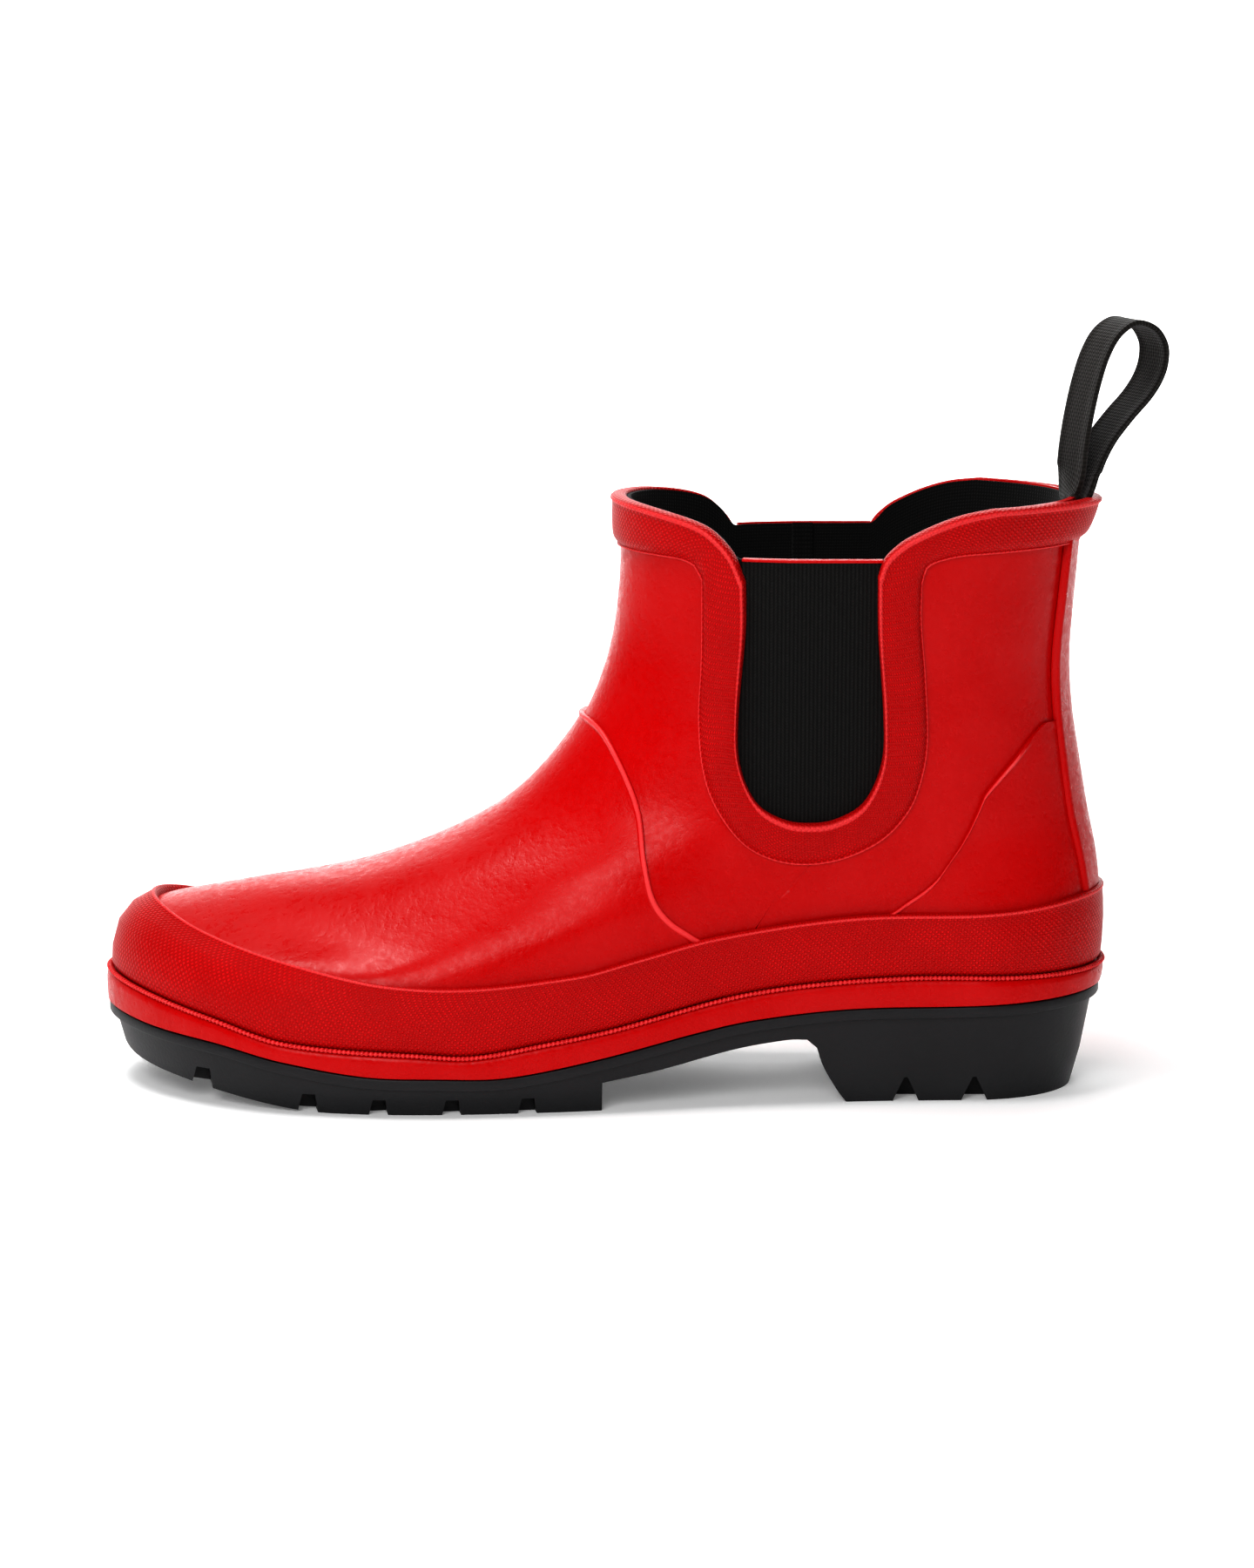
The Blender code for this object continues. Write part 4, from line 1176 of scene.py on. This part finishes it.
def sole_wall(angle):
    """Sections of the sole's side, from the top down, as (offset from the plan, height) at each angle."""
    x = surface(np.zeros_like(angle), angle)[:, 0]
    line = line_at(SOLE_LINE, x)
    tread = -3.0 - 1.5 * np.cos(angle) ** 4
    return (
        (np.full_like(x, 3.2), line),
        (np.full_like(x, 3.65), line - 0.15),
        (np.full_like(x, 3.8), line - 0.6),
        (np.full_like(x, 3.8), line - 2.5),
        (np.full_like(x, 3.55), line - 2.95),
        (np.full_like(x, 2.2), line - 3.15),
        (np.full_like(x, 1.8), line - 3.5),
        (np.full_like(x, 1.6), line - 4.4),
        (mix(1.6, tread, 0.45), line * 0.35),
        (tread, np.full_like(x, -2.0)),
    )


def sole_side(angle):
    rows = []
    for offset, height in sole_wall(angle):
        points = laid(np.full_like(angle, JUST_UP), angle, offset)
        points[:, 2] = height
        rows.append(points)
    return np.stack(rows, axis=1)


def joined(lateral, medial, low_rows, top_rows):
    """Closed sections from a solid's two sides, with rows across its underside and its top."""
    low = mix(lateral[:, -1:], medial[:, -1:], np.linspace(0, 1, low_rows)[1:-1, None])
    top = mix(medial[:, :1], lateral[:, :1], np.linspace(0, 1, top_rows)[1:-1, None])
    return np.concatenate((lateral, low, medial[:, ::-1], top, lateral[:, :1]), axis=1)


sole_angles = math.pi * np.linspace(0, 1, 241)
lateral, medial = sole_side(sole_angles), sole_side(-sole_angles)
outsole = strip("outsole_moulded", joined(lateral, medial, 7, 7))
carve(outsole, prism("underside", [
    *smooth(TOE_SPRING, 4), FOREFOOT_END, *smooth(ARCH_ROOF, 4), *smooth(HEEL_BREAST, 4), *BELOW_SOLE,
]))


def notch(name, x, top, low_half, high_half, near, far, turn):
    """Tapered cutter across one side of the tread, turned a little so that the cleats splay."""
    base = max(line_at(TOE_SPRING, x), 0)
    outline = (
        (x - low_half, -8), (x - low_half, base), (x - high_half, base + top), (x + high_half, base + top),
        (x + low_half, base), (x + low_half, -8),
    )
    cutter = prism(name, outline, near, far)
    only(cutter)
    bpy.ops.transform.rotate(value=-math.radians(turn), orient_axis="Z", center_override=(x * MM, 0, 0))
    bpy.ops.object.transform_apply(rotation=True, location=True)
    carve(outsole, cutter)


for x in FOREFOOT_GROOVES:
    lateral_edge, medial_edge = (np.interp(x, wall[:, 4, 0], wall[:, 4, 1]) for wall in (lateral, medial))
    notch(f"notch_lateral_{-x}", x, 4.6, 2.6, 1.7, -BESIDE, lateral_edge + NOTCH_DEPTH, 8)
    notch(f"notch_medial_{-x}", x, 4.6, 2.6, 1.7, medial_edge - NOTCH_DEPTH, BESIDE, -8)
for x in HEEL_GROOVES:
    for name, near, far in (("lateral", -BESIDE, -20), ("medial", 20, BESIDE)):
        notch(f"heel_notch_{name}_{x}", x, 7.0, 3.6, 0.5, near, far, 0)
shade(outsole, 32)
place(outsole, BLACK_RUBBER, "black_rubber", "outsole")

# %% [markdown]
# ## Footbed
# A loose foam footbed lies in the boot and lifts out at the heel. Its top is rolled over and clad in the
# same knit.

# %% Footbed
FOOTBED_INSET = -6.6
FOOTBED_PROFILE = ((0, 2.4), (0, 5.2), (-0.4, 6.0), (-1.2, 6.4))


def footbed_side(angle):
    rows = []
    for offset, height in FOOTBED_PROFILE:
        points = laid(np.full_like(angle, 1e-6), angle, FOOTBED_INSET + offset)
        points[:, 2] = line_at(SOLE_LINE, points[:, 0]) + height
        rows.append(points)
    return np.stack(rows[::-1], axis=1)


bed_angles = math.pi * np.linspace(0, 1, 161)
bed_sections = joined(footbed_side(bed_angles), footbed_side(-bed_angles), 9, 25)
footbed = strip("footbed_clad", bed_sections)
place(footbed, KNIT, "foam", "footbed", body="insole")

# %% [markdown]
# ## Pull loop
# The loop is one length of woven tape: it starts under the lining's edge, stands up as a teardrop, and
# its other end is tucked into the binding. The path is drawn and swept with the tape's own flat
# section.

# %% Pull loop
LOOP_PIVOT = np.array((35.0, 0.0, 169.5))
LOOP_YAW = math.radians(25)
LOOP_NODES = ("pull_loop", "loop_tail_inner", "loop_tail_outer")
TAPE_WIDTH, TAPE_THICK = 15.0, 1.5
across_loop = np.array((math.cos(LOOP_YAW), math.sin(LOOP_YAW), 0.0))
LOOP_LINE = (
    (-3.3, 3), (-2.5, 10), (-1.1, 18), (1.1, 27), (3.9, 34.8), (7.7, 40.5), (13.2, 43.4), (18.9, 41.6),
    (22.1, 37.2), (22.4, 32.5), (20.9, 27.8), (17.4, 22.8), (11.7, 17.2), (6.5, 11.4), (3.3, 6.2), (1.7, 2.2),
)
INNER_END = ((29.6, 150.0), (30.0, 156.0), (30.6, 162.0), (31.2, 167.0))
OUTER_END = ((36.0, 168.6), (35.5, 165.3), (35.0, 161.5))
TWIST_FROM, TWIST_OVER = 160.0, 14.0

in_loop = LOOP_PIVOT + np.array([across * across_loop + (0, 0, up) for across, up in LOOP_LINE])
ends = [np.array([(x, 0, z) for x, z in end]) for end in (INNER_END, OUTER_END)]
path = spaced(smooth(np.vstack((ends[0], in_loop, ends[1])), 12), 281)
free_share = ease((path[:, 2] - TWIST_FROM) / TWIST_OVER)[:, None]
width_way = mix(np.array((0.0, 1.0, 0.0)), np.cross((0.0, 0.0, 1.0), across_loop), free_share)
tangent = unit(np.gradient(path, axis=0))
width_way = unit(width_way - tangent * (width_way * tangent).sum(1, keepdims=True))
thick_way = np.cross(tangent, width_way)
half_w, half_t = TAPE_WIDTH / 2, TAPE_THICK / 2
upper = (
    (-half_w + 0.35, half_t - 0.05), (-half_w + 1.4, half_t), (-half_w + 1.8, half_t - 0.12),
    (-3, half_t - 0.1), (0, half_t - 0.1), (3, half_t - 0.1), (half_w - 1.8, half_t - 0.12),
    (half_w - 1.4, half_t), (half_w - 0.35, half_t - 0.05), (half_w, half_t - 0.4),
)
section = np.array(upper + tuple((-y, -t) for y, t in upper) + upper[:1])
loop_points = (path[:, None] + width_way[:, None] * section[None, :, :1]
               + thick_way[:, None] * section[None, :, 1:])
loop = strip("pull_loop_tape", loop_points, sharp=60)
dress(WEBBING, loop, *(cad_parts[node] for node in LOOP_NODES))
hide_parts("pull_loop", "loop_tail_inner", "loop_tail_outer")
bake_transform(loop)
print(loop.name, len(loop.data.polygons), "faces")

# %% [markdown]
# ## Inside the sole
# The board, the shank, the fillers and the stiffeners are sealed in, so their plain shapes stay and only
# take a finish of their own.


# %% Sealed pieces
def pressed_board():
    skin = Finish("pressed_fibre_board", specular_ior_level=0.2)
    fibres = skin.noise(0.0015, 4.0, 0.7)
    return skin.ends(fibres, (0.20, 0.165, 0.125), (0.34, 0.30, 0.24), 0.85 + fibres * 0.1,
                     (fibres, 0.0002, 0.5))


def foam():
    skin = Finish("closed_cell_foam", specular_ior_level=0.2)
    cells = skin.node("ShaderNodeTexVoronoi", None, Vector=skin.position(), Scale=900.0,
                      output="Distance")
    return skin.ends(cells, (0.09, 0.085, 0.08), (0.16, 0.15, 0.14), 0.95 - cells * 0.1,
                     (cells, 0.0003, 0.6))


def rolled_steel():
    skin = Finish("rolled_steel", metallic=1.0)
    grain = skin.noise(0.0008, 3.0, 0.6)
    return skin.ends(grain, (0.42, 0.42, 0.44), (0.56, 0.56, 0.58), 0.3 + grain * 0.15,
                     (grain, 0.00005, 0.4))


BOARD, FOAM, STEEL = pressed_board(), foam(), rolled_steel()
SEALED = {
    "insole_board": BOARD, "toe_puff": BOARD, "heel_stiffener": BOARD, "forefoot_filler": FOAM,
    "heel_core": FOAM, "shank": STEEL,
}
for node, material in SEALED.items():
    dress(material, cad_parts[node])
print(len(SEALED), "sealed pieces finished")
